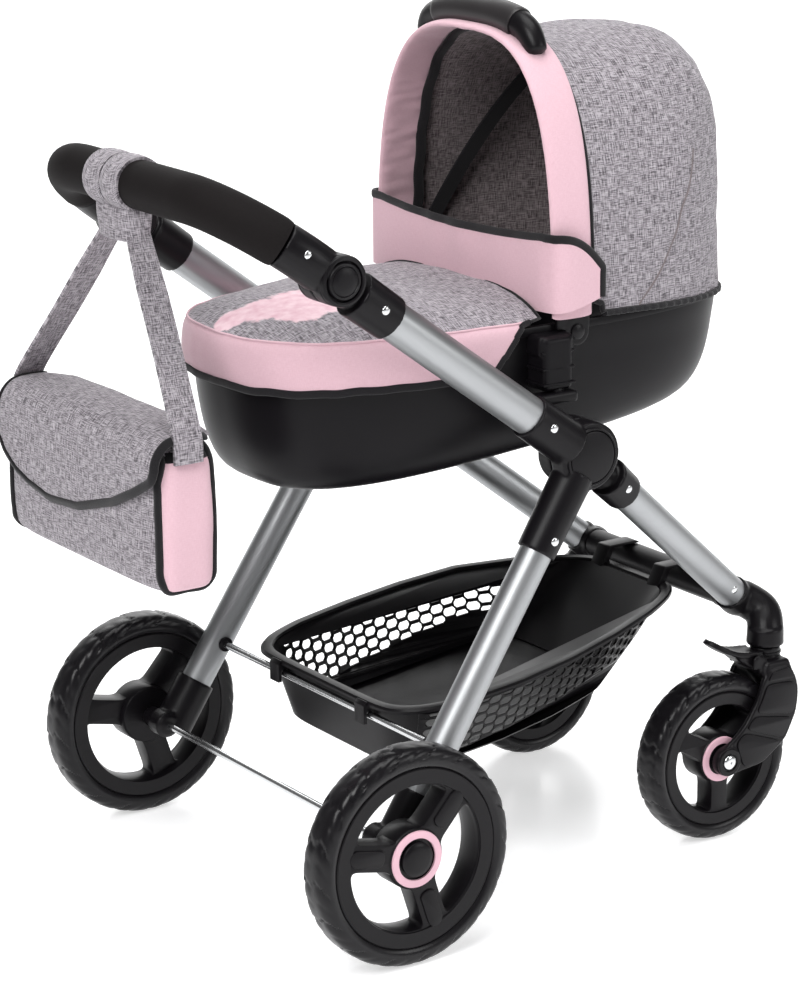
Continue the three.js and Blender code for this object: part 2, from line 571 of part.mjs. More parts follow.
// The draught flap stands up at the apron's edge and wraps round the hood's front bow.
const flapPlan = [[221, 123.5], [209, 125.2], [197, 126], [188.2, 122.6], [186.5, 112], [186.5, 60]];
const flapPath = [...flapPlan, ...flapPlan.toReversed().map(([x, y]) => [x, -y])];
const flapRings = flapPath.map(([x, y], i) => {
  const [px, py] = flapPath[Math.max(0, i - 1)];
  const [qx, qy] = flapPath[Math.min(flapPath.length - 1, i + 1)];
  const across = new THREE.Vector2(qy - py, px - qx).setLength(1.1);
  const low = Math.abs(y) > 117 ? 453 : 457;
  const high = x === flapPlan[0][0] ? FLAP_TOP - 16 : FLAP_TOP;
  return [[-1, low], [1, low], [1, high], [-1, high]].map(([s, z]) =>
    new THREE.Vector3(x + s * across.x, y + s * across.y, z));
});
add('draught_flap', loft(flapRings), PINK);

// ---------------------------------------------------------------- hood
/** An arch over the cot: pairs of [y, height] from the left foot to the right. */
function arch(halfWidth, height, round, count, start = 0) {
  const pairs = [];
  for (let i = 0; i <= count; i += 1) {
    const turn = THREE.MathUtils.degToRad(start + (180 - 2 * start) * i / count);
    const y = halfWidth * Math.sign(Math.cos(turn)) * Math.abs(Math.cos(turn)) ** (2 / round);
    pairs.push([y, height * Math.abs(Math.sin(turn)) ** (2 / round)]);
  }
  return pairs;
}

/** A flat bow of the given width, standing on the hood's axis and leaning back to an angle above level. */
function bow(halfWidth, height, thick, halfBand, angle, shift, round = BOW_ROUND) {
  const lean = THREE.MathUtils.degToRad(angle);
  const outerArch = arch(halfWidth, height, round, 24);
  const innerArch = arch(halfWidth - thick, height - thick - 1, round, 24);
  const place = (y, h, s) => new THREE.Vector3(
    HINGE[0] + shift + h * Math.cos(lean) - s * Math.sin(lean), y,
    HINGE[1] + h * Math.sin(lean) + s * Math.cos(lean));
  return loft(outerArch.map(([y, h], i) => {
    const [yi, hi] = innerArch[i];
    return [place(y, h, halfBand), place(y, h, -halfBand), place(yi, hi, -halfBand), place(yi, hi, halfBand)];
  }));
}
const bowMiddle = (BOW_FRONT + BOW_BACK) / 2;
const bowFeet = [-1, 1].map((out) => union(
  crossRod(HINGE, out * (BOW_HALF_WIDTH - BOW_THICK + 0.2), out * BOW_HALF_WIDTH, 11.5, 24),
  box(BOW_FRONT, BOW_BACK, out * (BOW_HALF_WIDTH - BOW_THICK + 0.2), out * BOW_HALF_WIDTH,
    COT_TOP + 2, COT_TOP + 30)));
const bowHalf = (BOW_BACK - BOW_FRONT) / 2;
const frontBow = bow(BOW_HALF_WIDTH, BOW_HEIGHT, BOW_THICK, bowHalf, 90, bowMiddle - HINGE[0])
  .subtract(box(BOW_FRONT - 1, BOW_BACK + 1, -130, 130, 400, COT_TOP + 2));
add('hood_front_bow', union(frontBow, ...bowFeet), PINK);
const middleBow = bow(BOW_HALF_WIDTH - BOW_THICK - GAP, MID_BOW_HEIGHT, 1.6, 7, MID_BOW_ANGLE, 0, 2.5);
add('hood_middle_bow', middleBow.subtract(crossRod(HINGE, -120, 120, 14, 24)), BLACK);

const gripArch = arch(BOW_HALF_WIDTH + 8, BOW_HEIGHT + 8, BOW_ROUND, 28).filter(([y]) => Math.abs(y) < 90);
const gripFoot = arch(BOW_HALF_WIDTH + 1, BOW_HEIGHT + 1, BOW_ROUND, 28).filter(([y]) => Math.abs(y) < 100);
const gripLine = [gripFoot[0], ...gripArch, gripFoot.at(-1)];
const carry = bend(gripLine.map(([y, h]) => new THREE.Vector3(bowMiddle, y, HINGE[1] + h)), 9, 18, 6);
const underCarry = bow(BOW_HALF_WIDTH + GAP, BOW_HEIGHT + GAP, 60, 30, 90, bowMiddle - HINGE[0]);
add('carry_handle', carry.subtract(underCarry), FOAM);

// The canopy is one fabric shell from the front bow to its hem round the tub.
const CANOPY_X = BOW_BACK + 1;
// Each row: the angle above level, the height of the arch there, and its squareness.
const CANOPY_ROWS = [[90, 222, 3], [79, 227, 2.9], [69, 236, 2.8], [60, 247, 2.7], [53, 250, 2.7],
  [44, 232, 2.65], [33, 205, 2.65], [20, 190, 2.65], [8, 186, 2.7], [-2.5, 186, 2.7]];
const canopyRows = (inset) => CANOPY_ROWS.map(([angle, height, round]) => {
  const lean = THREE.MathUtils.degToRad(angle);
  return arch(BOW_HALF_WIDTH - 0.5 - inset, height - inset, round, 18, 1.2).map(([y, h]) =>
    new THREE.Vector3(CANOPY_X + h * Math.cos(lean), y, HINGE[1] + h * Math.sin(lean)));
});
add('canopy', shell(canopyRows(0), canopyRows(CANOPY_WALL)), GREY);

// ---------------------------------------------------------------- bag
const bagRing = (inset, z, narrow = 0) =>
  planRing(BAG_HALF_DEPTH - inset, BAG_HALF_WIDTH - inset - narrow, z, 7, 24, [BAG_X, BAG_Y]);
add('bag_body', loft([
  bagRing(8, BAG_BOTTOM), bagRing(1.5, BAG_BOTTOM + 3), bagRing(0, BAG_BOTTOM + 12), bagRing(0, BAG_TOP - 34),
  bagRing(1, BAG_TOP - 18, 1.5), bagRing(4.5, BAG_TOP - 8, 4.5), bagRing(12, BAG_TOP, 9),
  bagRing(14.5, BAG_TOP, 10), bagRing(7.5, BAG_TOP - 9, 4.5), bagRing(3.8, BAG_TOP - 18, 1.5),
  bagRing(2.6, BAG_TOP - 34), bagRing(2.6, BAG_BOTTOM + 12), bagRing(5, BAG_BOTTOM + 5),
  bagRing(11, BAG_BOTTOM + 2.6),
]), GREY);
const flapBack = BAG_X + BAG_HALF_DEPTH - 4;
const flapFront = BAG_X - BAG_HALF_DEPTH;
const bagFlap = plate([
  [flapBack, BAG_TOP + 0.8], [flapFront + 11.8, BAG_TOP + 1], [flapFront + 3.4, BAG_TOP - 7.7],
  [flapFront - 0.4, BAG_TOP - 18], [flapFront - 1.8, BAG_TOP - 34], [flapFront - 1.8, BAG_BOTTOM + 16],
  [flapFront - 5, BAG_BOTTOM + 16], [flapFront - 5, BAG_TOP - 32], [flapFront - 3.5, BAG_TOP - 16],
  [flapFront + 0.7, BAG_TOP - 5.2], [flapFront + 10, BAG_TOP + 4], [flapBack, BAG_TOP + 4],
], BAG_Y - BAG_HALF_WIDTH, BAG_Y + BAG_HALF_WIDTH);
const flapEdge = [FLAP_UP, FLAP_DOWN].map(([height, round]) => planRing(FLAP_HALF_WIDTH, height, 0, round, 32))
  .reduce((upper, lower) => [...upper.slice(0, 16), ...lower.slice(16)]);
const flapMask = loft([flapFront - 20, flapBack + 20].map((x) => flapEdge.map((p) =>
  new THREE.Vector3(x, BAG_Y + p.x, FLAP_MIDDLE + p.y))));
add('bag_flap', bagFlap.intersect(flapMask), GREY);

const gripMiddle = new THREE.Vector3(KNOB[0] + reach.x * HANDLE_REACH, 0, KNOB[1] + reach.z * HANDLE_REACH);
const strapSide = (out) => {
  const yFoot = BAG_Y + out * (BAG_HALF_WIDTH + GAP + STRAP_THICK / 2);
  const yTop = BAG_Y + out * 12;
  const line = [
    [BAG_BOTTOM + 74, yFoot], [BAG_TOP - 28, yFoot], [STRAP_BEND, yFoot - out * 8], [KNOT_LOW + 12, yTop],
  ];
  return loft(line.map(([z, y]) => {
    const x = z > STRAP_BEND ? gripMiddle.x : BAG_X;
    const thick = z > STRAP_BEND ? STRAP_THICK * 0.8 : STRAP_THICK / 2;
    return [[-1, -1], [1, -1], [1, 1], [-1, 1]].map(([a, b]) =>
      new THREE.Vector3(x + a * STRAP_WIDTH / 2, y + b * thick, z));
  }));
};
const loop = turned([[GRIP_R + SLIP, -STRAP_WIDTH - 1], [GRIP_R + SLIP + STRAP_THICK, -STRAP_WIDTH - 1],
  [GRIP_R + SLIP + STRAP_THICK, STRAP_WIDTH + 1], [GRIP_R + SLIP, STRAP_WIDTH + 1]], 24)
  .translate([gripMiddle.x, BAG_Y, gripMiddle.z]);
const knot = box(gripMiddle.x - 11, gripMiddle.x + 11, BAG_Y - 24, BAG_Y + 24, KNOT_LOW,
  gripMiddle.z - GRIP_R - SLIP - 1);
add('bag_strap', union(loop, knot, strapSide(-1), strapSide(1)), GREY);

// ---------------------------------------------------------------- tray
/** A ring of the tray at a depth from 0 at its rim to 1 at its floor, moved in by a wall. */
function trayRing(depth, inset, lift = 0) {
  const rear = TRAY_BACK + depth * TRAY_TAPER[0] + inset;
  const front = TRAY_FRONT - depth * TRAY_TAPER[1] - inset;
  return planRing(1, 1, 0, TRAY_ROUND, 32).map(({ x: across, y: side }) => {
    const x = rear + (front - rear) * (1 + across) / 2;
    const place = (x - TRAY_BACK) / (TRAY_FRONT - TRAY_BACK) * (TRAY_RIM.length - 1);
    const step = Math.min(Math.max(Math.floor(place), 0), TRAY_RIM.length - 2);
    const [width, rim] = TRAY_RIM[step].map((v, k) => v + (TRAY_RIM[step + 1][k] - v) * (place - step));
    const y = side * (width - depth * TRAY_TAPER[2] - inset);
    return new THREE.Vector3(x, y, rim - depth * TRAY_DEPTH + lift);
  });
}
const tray = loft([
  trayRing(1, 9), trayRing(0.93, 0), trayRing(0.5, 0), trayRing(0.07, 0), trayRing(0.05, -TRAY_LIP),
  trayRing(0, -TRAY_LIP), trayRing(0, TRAY_WALL), trayRing(0.5, TRAY_WALL),
  trayRing(0.93, TRAY_WALL, TRAY_WALL / 2), trayRing(1, 9, TRAY_WALL),
]);
const hooks = [-62, 62].map((y) => union(
  box(ROD[0] - 6.5, TRAY_BACK + 2, y - 7, y + 7, ROD[1] - 7, TRAY_RIM[0][1] - 1),
).subtract(box(ROD[0] - ROD_R - SLIP, ROD[0] + ROD_R + SLIP, y - 8, y + 8, ROD[1] - 8, ROD[1])));
const rodSlot = crossRod(ROD, -100, 100, ROD_R + SLIP);
const tongues = [-38, 38].map((y) => plate([
  [352, 190], [362, 206.5], [BAR[0] + 3, 206.5], [BAR[0] + 3, BAR[1] + BAR_R + SLIP],
  [367, BAR[1] + BAR_R + SLIP], [358, 187],
], y - 8, y + 8));
add('tray', union(tray, ...hooks.map((hook) => hook.subtract(rodSlot)), ...tongues), BLACK);

part.position.x = -CENTRE_X;
export default part;
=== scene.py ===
# A doll's pram, dressed for its looks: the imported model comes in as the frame, and every piece below is
# made on it. The order is the order of assembly: wheels, tubes, mouldings, tray, carrycot, hood, handle
# and bag. Places are given in millimetres from the floor under the middle of the rear axle.
import math

import bpy
import numpy as np
from mathutils import Matrix, Vector, noise


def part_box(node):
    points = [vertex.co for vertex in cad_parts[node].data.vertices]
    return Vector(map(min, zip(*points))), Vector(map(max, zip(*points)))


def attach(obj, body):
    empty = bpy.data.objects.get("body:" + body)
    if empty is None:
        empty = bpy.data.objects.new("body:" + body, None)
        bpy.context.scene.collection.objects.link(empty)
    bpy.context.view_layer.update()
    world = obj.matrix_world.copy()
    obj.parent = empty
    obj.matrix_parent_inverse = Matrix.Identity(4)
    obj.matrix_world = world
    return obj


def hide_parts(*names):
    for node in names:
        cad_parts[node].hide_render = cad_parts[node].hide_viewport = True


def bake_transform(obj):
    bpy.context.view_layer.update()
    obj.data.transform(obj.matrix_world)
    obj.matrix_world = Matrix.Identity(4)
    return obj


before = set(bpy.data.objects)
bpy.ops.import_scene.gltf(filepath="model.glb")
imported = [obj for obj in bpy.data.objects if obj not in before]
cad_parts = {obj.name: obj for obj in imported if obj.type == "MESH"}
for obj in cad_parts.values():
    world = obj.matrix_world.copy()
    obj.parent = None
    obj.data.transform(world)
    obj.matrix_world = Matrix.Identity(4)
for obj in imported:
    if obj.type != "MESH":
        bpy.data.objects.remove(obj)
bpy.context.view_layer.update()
axle_low, axle_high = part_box("rear_axle")
AXLE_X = (axle_low.x + axle_high.x) / 2
SIDES = (("left", 1), ("right", -1))


def spot(x, y, z):
    """A place in metres, from millimetres off the rear axle's middle on the floor."""
    return Vector((AXLE_X + x / 1000, y / 1000, z / 1000))


# ---------------------------------------------------------------- studio
# The pram stands on a plain pale floor with a white backdrop behind it, in the soft light of four large
# panels. The camera stands off its rear right corner, a little above the cot.
BACKDROP_PLACE = (Matrix.Translation((3.1, 4.6, 2.4)) @ Matrix.Rotation(math.radians(-34), 4, "Z")
                  @ Matrix.Rotation(math.pi / 2, 4, "X") @ Matrix.Diagonal((11, 5, 1, 1)))
for name, place, colour, glow, roughness, gloss in (
        ("studio_floor", Matrix.Diagonal((14, 14, 1, 1)), (0.86, 0.86, 0.87, 1), 0.56, 0.22, 0.45),
        ("studio_backdrop", BACKDROP_PLACE, (0.9, 0.9, 0.9, 1), 1.0, 0.5, 0.5)):
    bpy.ops.object.select_all(action="DESELECT")
    bpy.ops.mesh.primitive_plane_add(size=1, location=(0, 0, 0))
    screen = bpy.context.object
    screen.name = name
    screen.data.transform(place)
    finish = bpy.data.materials.new(name)
    finish.use_nodes = True
    shader = finish.node_tree.nodes["Principled BSDF"]
    for label, value in (("Base Color", colour), ("Roughness", roughness), ("Specular IOR Level", gloss),
                         ("Emission Color", (1, 1, 1, 1)), ("Emission Strength", glow)):
        shader.inputs[label].default_value = value
    screen.data.materials.append(finish)

world = bpy.data.worlds.new("studio")
bpy.context.scene.world = world
world.use_nodes = True
world.node_tree.nodes["Background"].inputs["Color"].default_value = (1, 1, 1, 1)
world.node_tree.nodes["Background"].inputs["Strength"].default_value = 0.16

LAMPS = (("key", (-2.1, -1.3, 2.4), 1.5, 62), ("side", (1.6, -2.3, 1.3), 1.2, 17),
         ("top", (0.1, -0.2, 2.7), 1.7, 40), ("back", (0.9, 2.2, 1.9), 1.8, 11))
for name, place, size, power in LAMPS:
    lamp = bpy.data.lights.new(name, "AREA")
    lamp.shape = "SQUARE"
    lamp.size = size
    lamp.energy = power
    holder = bpy.data.objects.new(name, lamp)
    holder.location = place
    holder.rotation_euler = (Vector((0, 0, 0.35)) - Vector(place)).to_track_quat("-Z", "Y").to_euler()
    bpy.context.scene.collection.objects.link(holder)

camera = bpy.data.objects.new("camera", bpy.data.cameras.new("camera"))
camera.data.lens = 121.88
camera.data.sensor_width = 36
camera.location = spot(-1282.8, -2103.3, 995.4)
camera.rotation_euler = [math.radians(turn) for turn in (74.5977, 0.4767, -34.0030)]
bpy.context.scene.collection.objects.link(camera)
bpy.context.scene.camera = camera
bpy.context.scene.view_settings.view_transform = "Standard"


# ---------------------------------------------------------------- moulded plastic
# Most of the pram's hard parts are black plastic, injection moulded with a fine satin grain. The grain
# is a group that each plastic takes with its own values.
def wire(tree, kind, feeds=None, **settings):
    """Adds a shader node, sets it up and feeds its sockets from values or from other nodes' outputs."""
    made = tree.nodes.new(kind)
    for label, value in settings.items():
        setattr(made, label, value)
    for label, source in (feeds or {}).items():
        if isinstance(source, bpy.types.NodeSocket):
            tree.links.new(source, made.inputs[label])
        else:
            made.inputs[label].default_value = source
    return made


def new_group(name, inputs, outputs):
    tree = bpy.data.node_groups.new(name, "ShaderNodeTree")
    for label, kind, value in inputs:
        socket = tree.interface.new_socket(label, in_out="INPUT", socket_type=kind)
        if value is not None:
            socket.default_value = value
    for label, kind in outputs:
        tree.interface.new_socket(label, in_out="OUTPUT", socket_type=kind)
    return tree, tree.nodes.new("NodeGroupInput"), tree.nodes.new("NodeGroupOutput")


def new_finish(name, colour, roughness, metallic=0.0):
    """A material with one colour and polish, its node tree and its shader."""
    made = bpy.data.materials.new(name)
    made.use_nodes = True
    made.diffuse_color = (*colour, 1)
    shader = made.node_tree.nodes["Principled BSDF"]
    shader.inputs["Base Color"].default_value = (*colour, 1)
    shader.inputs["Roughness"].default_value = roughness
    shader.inputs["Metallic"].default_value = metallic
    return made, made.node_tree, shader


FLOAT, COLOUR, VECTOR = "NodeSocketFloat", "NodeSocketColor", "NodeSocketVector"
grain, grain_in, grain_out = new_group(
    "moulded_grain",
    [("Vector", VECTOR, None), ("Grain", FLOAT, 900.0), ("Roughness", FLOAT, 0.4), ("Spread", FLOAT, 0.08),
     ("Colour", COLOUR, (0.02, 0.02, 0.02, 1))],
    [("Colour", COLOUR), ("Roughness", FLOAT), ("Height", FLOAT)])
fine = wire(grain, "ShaderNodeTexNoise", {"Vector": grain_in.outputs["Vector"], "Detail": 2.0,
                                          "Scale": grain_in.outputs["Grain"]})
broad = wire(grain, "ShaderNodeTexNoise", {"Vector": grain_in.outputs["Vector"], "Scale": 22.0, "Detail": 4.0})
shift = wire(grain, "ShaderNodeMath", {0: broad.outputs["Fac"], 1: 0.5}, operation="SUBTRACT")
spread = wire(grain, "ShaderNodeMath", {0: shift.outputs[0], 1: grain_in.outputs["Spread"]},
              operation="MULTIPLY")
total = wire(grain, "ShaderNodeMath", {0: spread.outputs[0], 1: grain_in.outputs["Roughness"]},
             operation="ADD")
tone = wire(grain, "ShaderNodeMapRange", {"Value": broad.outputs["Fac"], "To Min": 0.82, "To Max": 1.2})
tinted = wire(grain, "ShaderNodeVectorMath", {0: grain_in.outputs["Colour"], "Scale": tone.outputs[0]},
              operation="SCALE")
grain.links.new(tinted.outputs[0], grain_out.inputs["Colour"])
grain.links.new(total.outputs[0], grain_out.inputs["Roughness"])
grain.links.new(fine.outputs["Fac"], grain_out.inputs["Height"])


def moulded(name, colour, roughness, size=900.0, depth=0.00012, spread=0.12, shine=0.2):
    """A plastic with a fine moulded grain and a slow change of polish over it."""
    made, tree, shader = new_finish(name, colour, roughness)
    shader.inputs["Specular IOR Level"].default_value = shine
    coords = wire(tree, "ShaderNodeTexCoord")
    skin = wire(tree, "ShaderNodeGroup", {}, node_tree=grain)
    tree.links.new(coords.outputs["Object"], skin.inputs["Vector"])
    for label, value in (("Grain", size), ("Roughness", roughness), ("Spread", spread),
                         ("Colour", (*colour, 1))):
        skin.inputs[label].default_value = value
    bump = wire(tree, "ShaderNodeBump", {"Height": skin.outputs["Height"], "Strength": 0.35, "Distance": depth})
    tree.links.new(skin.outputs["Colour"], shader.inputs["Base Color"])
    tree.links.new(skin.outputs["Roughness"], shader.inputs["Roughness"])
    tree.links.new(bump.outputs["Normal"], shader.inputs["Normal"])
    return made


BLACK_PLASTIC = moulded("black_plastic", (0.0052, 0.0044, 0.0056), 0.36)
TYRE_PLASTIC = moulded("tyre_plastic", (0.0062, 0.0055, 0.0068), 0.3, size=500.0, depth=0.0002, spread=0.2,
                       shine=0.28)
PINK_PLASTIC = moulded("pink_plastic", (0.82, 0.5, 0.59), 0.3, size=700.0, depth=0.00006, spread=0.06,
                       shine=0.5)


# ---------------------------------------------------------------- wheels
# Each wheel is a hollow moulded tyre with scalloped shoulder lugs, on a rim with three deep spokes
# round a drum. A pink ring is pressed into the drum's outer face. The rear wheels have a domed cap over
# the axle's end.
def take(piece):
    """Makes one object the only one selected and the active one."""
    bpy.ops.object.select_all(action="DESELECT")
    piece.select_set(True)
    bpy.context.view_layer.objects.active = piece


def edit(piece, *steps):
    """Runs edit mode steps on the whole of a piece."""
    take(piece)
    bpy.ops.object.mode_set(mode="EDIT")
    bpy.ops.mesh.select_all(action="SELECT")
    for step in steps:
        step()
    bpy.ops.object.mode_set(mode="OBJECT")


def weld():
    bpy.ops.mesh.remove_doubles(threshold=2e-6)


def face_out():
    bpy.ops.mesh.normals_make_consistent(inside=False)


def modify(piece, kind, **settings):
    """Adds one modifier and applies it."""
    take(piece)
    step = piece.modifiers.new(kind.lower(), kind)
    for label, value in settings.items():
        setattr(step, label, value)
    bpy.ops.object.modifier_apply(modifier=step.name)


def dress(piece, finish, slot, body, *replaced, angle=38):
    """Gives a finished piece its material and its place on a body."""
    take(piece)
    bpy.ops.object.shade_smooth_by_angle(angle=math.radians(angle))
    if finish:
        piece.data.materials.clear()
        piece.data.materials.append(finish)
    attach(piece, body)
    if replaced:
        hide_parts(*replaced)
    return piece


def turned(name, profile, place=(0, 0, 0), steps=96):
    """A closed ring or solid spun about the Y axis from [radius, y] corners in millimetres."""
    bpy.ops.object.select_all(action="DESELECT")
    bpy.ops.mesh.primitive_circle_add(vertices=len(profile), radius=1, location=(0, 0, 0))
    made = bpy.context.object
    made.name = name
    for corner, (radius, y) in zip(made.data.vertices, profile):
        corner.co = (radius / 1000, y / 1000, 0)
    edit(made, lambda: bpy.ops.mesh.spin(steps=steps, angle=2 * math.pi, center=(0, 0, 0), axis=(0, 1, 0)),
         lambda: bpy.ops.mesh.select_all(action="SELECT"), weld, face_out)
    made.data.transform(Matrix.Translation(place))
    return made


def even(outline, count):
    """The same closed outline with its corners spaced evenly."""
    loop = np.array([*outline, outline[0]], float)
    run = np.concatenate([[0], np.cumsum(np.linalg.norm(np.diff(loop, axis=0), axis=1))])
    stops = np.linspace(0, run[-1], count, endpoint=False)
    return np.column_stack([np.interp(stops, run, loop[:, k]) for k in range(loop.shape[1])])


def rounded(outline, count, passes):
    """The outline with soft corners."""
    loop = even(outline, count)
    for _ in range(passes):
        loop = 0.5 * loop + 0.25 * (np.roll(loop, 1, 0) + np.roll(loop, -1, 0))
    return loop


def plate(name, outlines, thick, edge, place=(0, 0, 0)):
    """A flat plate in the XZ plane with bevelled edges, about y = 0. Outlines after the first are holes."""
    line = bpy.data.curves.new(name, "CURVE")
    line.dimensions = "2D"
    line.fill_mode = "BOTH"
    line.extrude = (thick / 2 - edge) / 1000
    line.bevel_depth = edge / 1000
    line.bevel_resolution = 1
    line.offset = -edge / 1000
    for index, outline in enumerate(outlines):
        loop = np.array(outline, float)
        area = np.sum(loop[:, 0] * np.roll(loop[:, 1], -1) - loop[:, 1] * np.roll(loop[:, 0], -1))
        if (area > 0) != (index == 0):
            loop = loop[::-1]
        spline = line.splines.new("POLY")
        spline.points.add(len(loop) - 1)
        spline.use_cyclic_u = True
        for point, (x, z) in zip(spline.points, loop):
            point.co = (x / 1000, z / 1000, 0, 1)
    made = bpy.data.objects.new(name, line)
    bpy.context.scene.collection.objects.link(made)
    take(made)
    bpy.ops.object.convert(target="MESH")
    made = bpy.context.object
    made.data.transform(Matrix.Translation(place) @ Matrix.Rotation(math.pi / 2, 4, "X"))
    edit(made, weld, face_out)
    return made


def join(first, *others):
    take(first)
    for other in others:
        other.select_set(True)
    bpy.ops.object.join()
    return first


def ring_line(radius, count, turn=0.0):
    angles = np.radians(turn) + np.linspace(0, 2 * math.pi, count, endpoint=False)
    return np.column_stack([radius * np.cos(angles), radius * np.sin(angles)])


def spoke_gap(first, second, low, high, half):
    """The opening between two spokes that stand at these angles in degrees."""
    def side(turn, way):
        t = math.radians(turn)
        reach = [math.sqrt(r * r - half * half) for r in (low, high)]
        aside = way * half
        return [np.array([u * math.cos(t) - aside * math.sin(t), u * math.sin(t) + aside * math.cos(t)])
                for u in reach]

    def sweep(start, end, radius):
        a, b = math.atan2(start[1], start[0]), math.atan2(end[1], end[0])
        b += 2 * math.pi if b < a else 0
        turns = [a + (b - a) * k / 30 for k in range(31)]
        return [(radius * math.cos(t), radius * math.sin(t)) for t in turns]

    near, far = side(first, 1), side(second, -1)
    return rounded([*sweep(near[1], far[1], high), *sweep(near[0], far[0], low)[::-1]], 110, 9)


LUGS = 17
LUG_DEPTH = 1.3


def make_tyre(name, radius, seat, half):
    """A hollow tyre from its seat on the rim to its tread, with cuts across its shoulders."""
    outer = radius - seat
    rise = [(seat, -half + 4), (seat + 0.2, -half + 2.2), (seat + 1.2, -half + 1.2)]
    for k in range(17):
        t = math.pi / 2 * k / 16
        rise.append((seat + outer * (0.28 + 0.72 * math.sin(t) ** 0.9), -half * max(math.cos(t), 0) ** 0.52))
    profile = rise[:-1] + [(radius, y) for y in (-3.2, -1.1, 1.1, 3.2)] + [(r, -y) for r, y in rise[:-1][::-1]]
    made = turned(name, profile, steps=272)
    take(made)
    bpy.ops.object.shade_smooth()
    for corner in made.data.vertices:
        x, y, z = corner.co * 1000
        r = math.hypot(x, z)
        climb = (r - seat) / outer
        shoulder = max(0.0, min(1.0, (climb - 0.42) / 0.16)) * min(1.0, abs(y) / 3 + 0.45)
        lean = 0.55 * (climb - 0.45) + 0.16 * math.sin(abs(y) / half * math.pi)
        place = (math.atan2(z, x) / (2 * math.pi) * LUGS + lean) % 1.0
        cut = math.exp(-(place / 0.16) ** 2) + 0.35 * math.exp(-((place - 0.52) / 0.07) ** 2)
        sink = -LUG_DEPTH * shoulder * cut
        corner.co += Vector((x / r * sink, 0, z / r * sink)) / 1000 * 0.75
        corner.co.y -= math.copysign(sink, -y) / 1000 * -0.55 * (1 if abs(y) > 4 else 0)
    return made


def make_wheel(name, out, radius, place, seat, gap, drum, ring, half_spoke, turns, cap):
    """A wheel of four pieces: tyre, spoked centre, pink ring and, at the rear, the cap over the axle."""
    half = 14.6
    face = out * 12.6
    tyre = make_tyre(f"{name}_tyre_shell", radius, seat, half)
    hoop = turned(f"{name}_wheel_centre", [
        (gap - 0.5, -12), (gap, -13), (seat - 1.2, -13.4), (seat - 0.2, -12.6), (seat - 0.1, 12.6),
        (seat - 1.2, 13.4), (gap, 13), (gap - 0.5, 12), (gap - 2.2, 4), (gap - 2.2, -4)], steps=120)
    angles = sorted(turn % 360 for turn in turns)
    gaps = [spoke_gap(a, b, drum - 0.5, gap - 1.2, half_spoke)
            for a, b in zip(angles, [*angles[1:], angles[0] + 360])]
    web = plate("web", [ring_line(gap + 0.6, 150), *gaps], 19, 1.1, (0, out * 2.4 / 1000, 0))
    hub = turned("drum", [(4.2, out * -12), (drum - 1, out * -12.4), (drum, out * -11), (drum, out * 11),
                          (drum - 1, out * 12.4), (ring + 0.4, out * 12.8), (ring - 6.4, out * 12.8),
                          (ring - 6.8, out * 10.8), (4.2, out * 10.8)], steps=72)
    pads = []
    for turn in angles if cap else ():
        t = math.radians(turn)
        start, end, wide = drum + 4.5, gap + 1.5, half_spoke * 0.62
        arc = [(end - wide + wide * math.cos(a), wide * math.sin(a))
               for a in np.linspace(-math.pi / 2, math.pi / 2, 13)]
        arc += [(start + wide * 0.6 - wide * 0.6 * math.cos(a), wide * math.sin(a))
                for a in np.linspace(math.pi / 2, -math.pi / 2, 9)]
        arc = [(u * math.cos(t) - v * math.sin(t), u * math.sin(t) + v * math.cos(t)) for u, v in arc]
        pads.append(plate("pad", [arc], 2.6, 0.8, (0, out * 0.0122, 0)))
    rim = join(hoop, web, hub, *pads)
    band = turned(f"{name}_pink_ring", [
        (ring - 6, face), (ring - 5.7, face + out * 1.5), (ring - 0.5, face + out * 1.7),
        (ring, face + out * 1.1), (ring, face)], steps=72)
    pieces = [(tyre, TYRE_PLASTIC, "tyre_plastic", f"{name}_tyre"),
              (rim, BLACK_PLASTIC, "black_plastic", f"{name}_rim"),
              (band, PINK_PLASTIC, "pink_plastic", f"{name}_ring")]
    if cap:
        dome = turned(f"{name}_axle_cap", [
            (0, out * 11.2), (13.4, out * 11.2), (13.4, out * 14.6), (12.6, out * 15.6), (9, out * 16.5),
            (4, out * 17), (0, out * 17.1)], steps=64)
        pieces.append((dome, BLACK_PLASTIC, "black_plastic", f"{name}_cap"))
    for piece, finish, slot, node in pieces:
        piece.data.transform(Matrix.Translation(place))
        if piece is not rim:
            edit(piece, face_out)
        dress(piece, finish, slot, name, node)


for side, out in SIDES:
    make_wheel(f"rear_wheel_{side}", out, radius=85, place=spot(0, out * 197, 85), seat=70, gap=58, drum=24,
               ring=22, half_spoke=10.5, turns=(48, 168, 288), cap=True)
    make_wheel(f"front_wheel_{side}", out, radius=69, place=spot(347, out * 125, 69), seat=56, gap=46, drum=20.5,
               ring=18.8, half_spoke=8.2, turns=(30, 150, 270), cap=False)


# ---------------------------------------------------------------- tubes and rods
# The frame is drawn aluminium tube with a satin anodised skin, cut square and pushed into its mouldings.
# The axle and the rod that the tray hangs on are bright steel.
def along(start, end, distance):
    return start + (end - start).normalized() * distance


def bar(name, start, end, radius, corners=48, end_radius=None):
    """A round bar between two places."""
    way = end - start
    bpy.ops.object.select_all(action="DESELECT")
    bpy.ops.mesh.primitive_cone_add(vertices=corners, radius1=radius / 1000,
                                    radius2=(radius if end_radius is None else end_radius) / 1000,
                                    depth=way.length, location=(0, 0, 0))
    made = bpy.context.object
    made.name = name
    turn = way.to_track_quat("Z", "Y").to_matrix().to_4x4()
    made.data.transform(Matrix.Translation((start + end) / 2) @ turn)
    return made


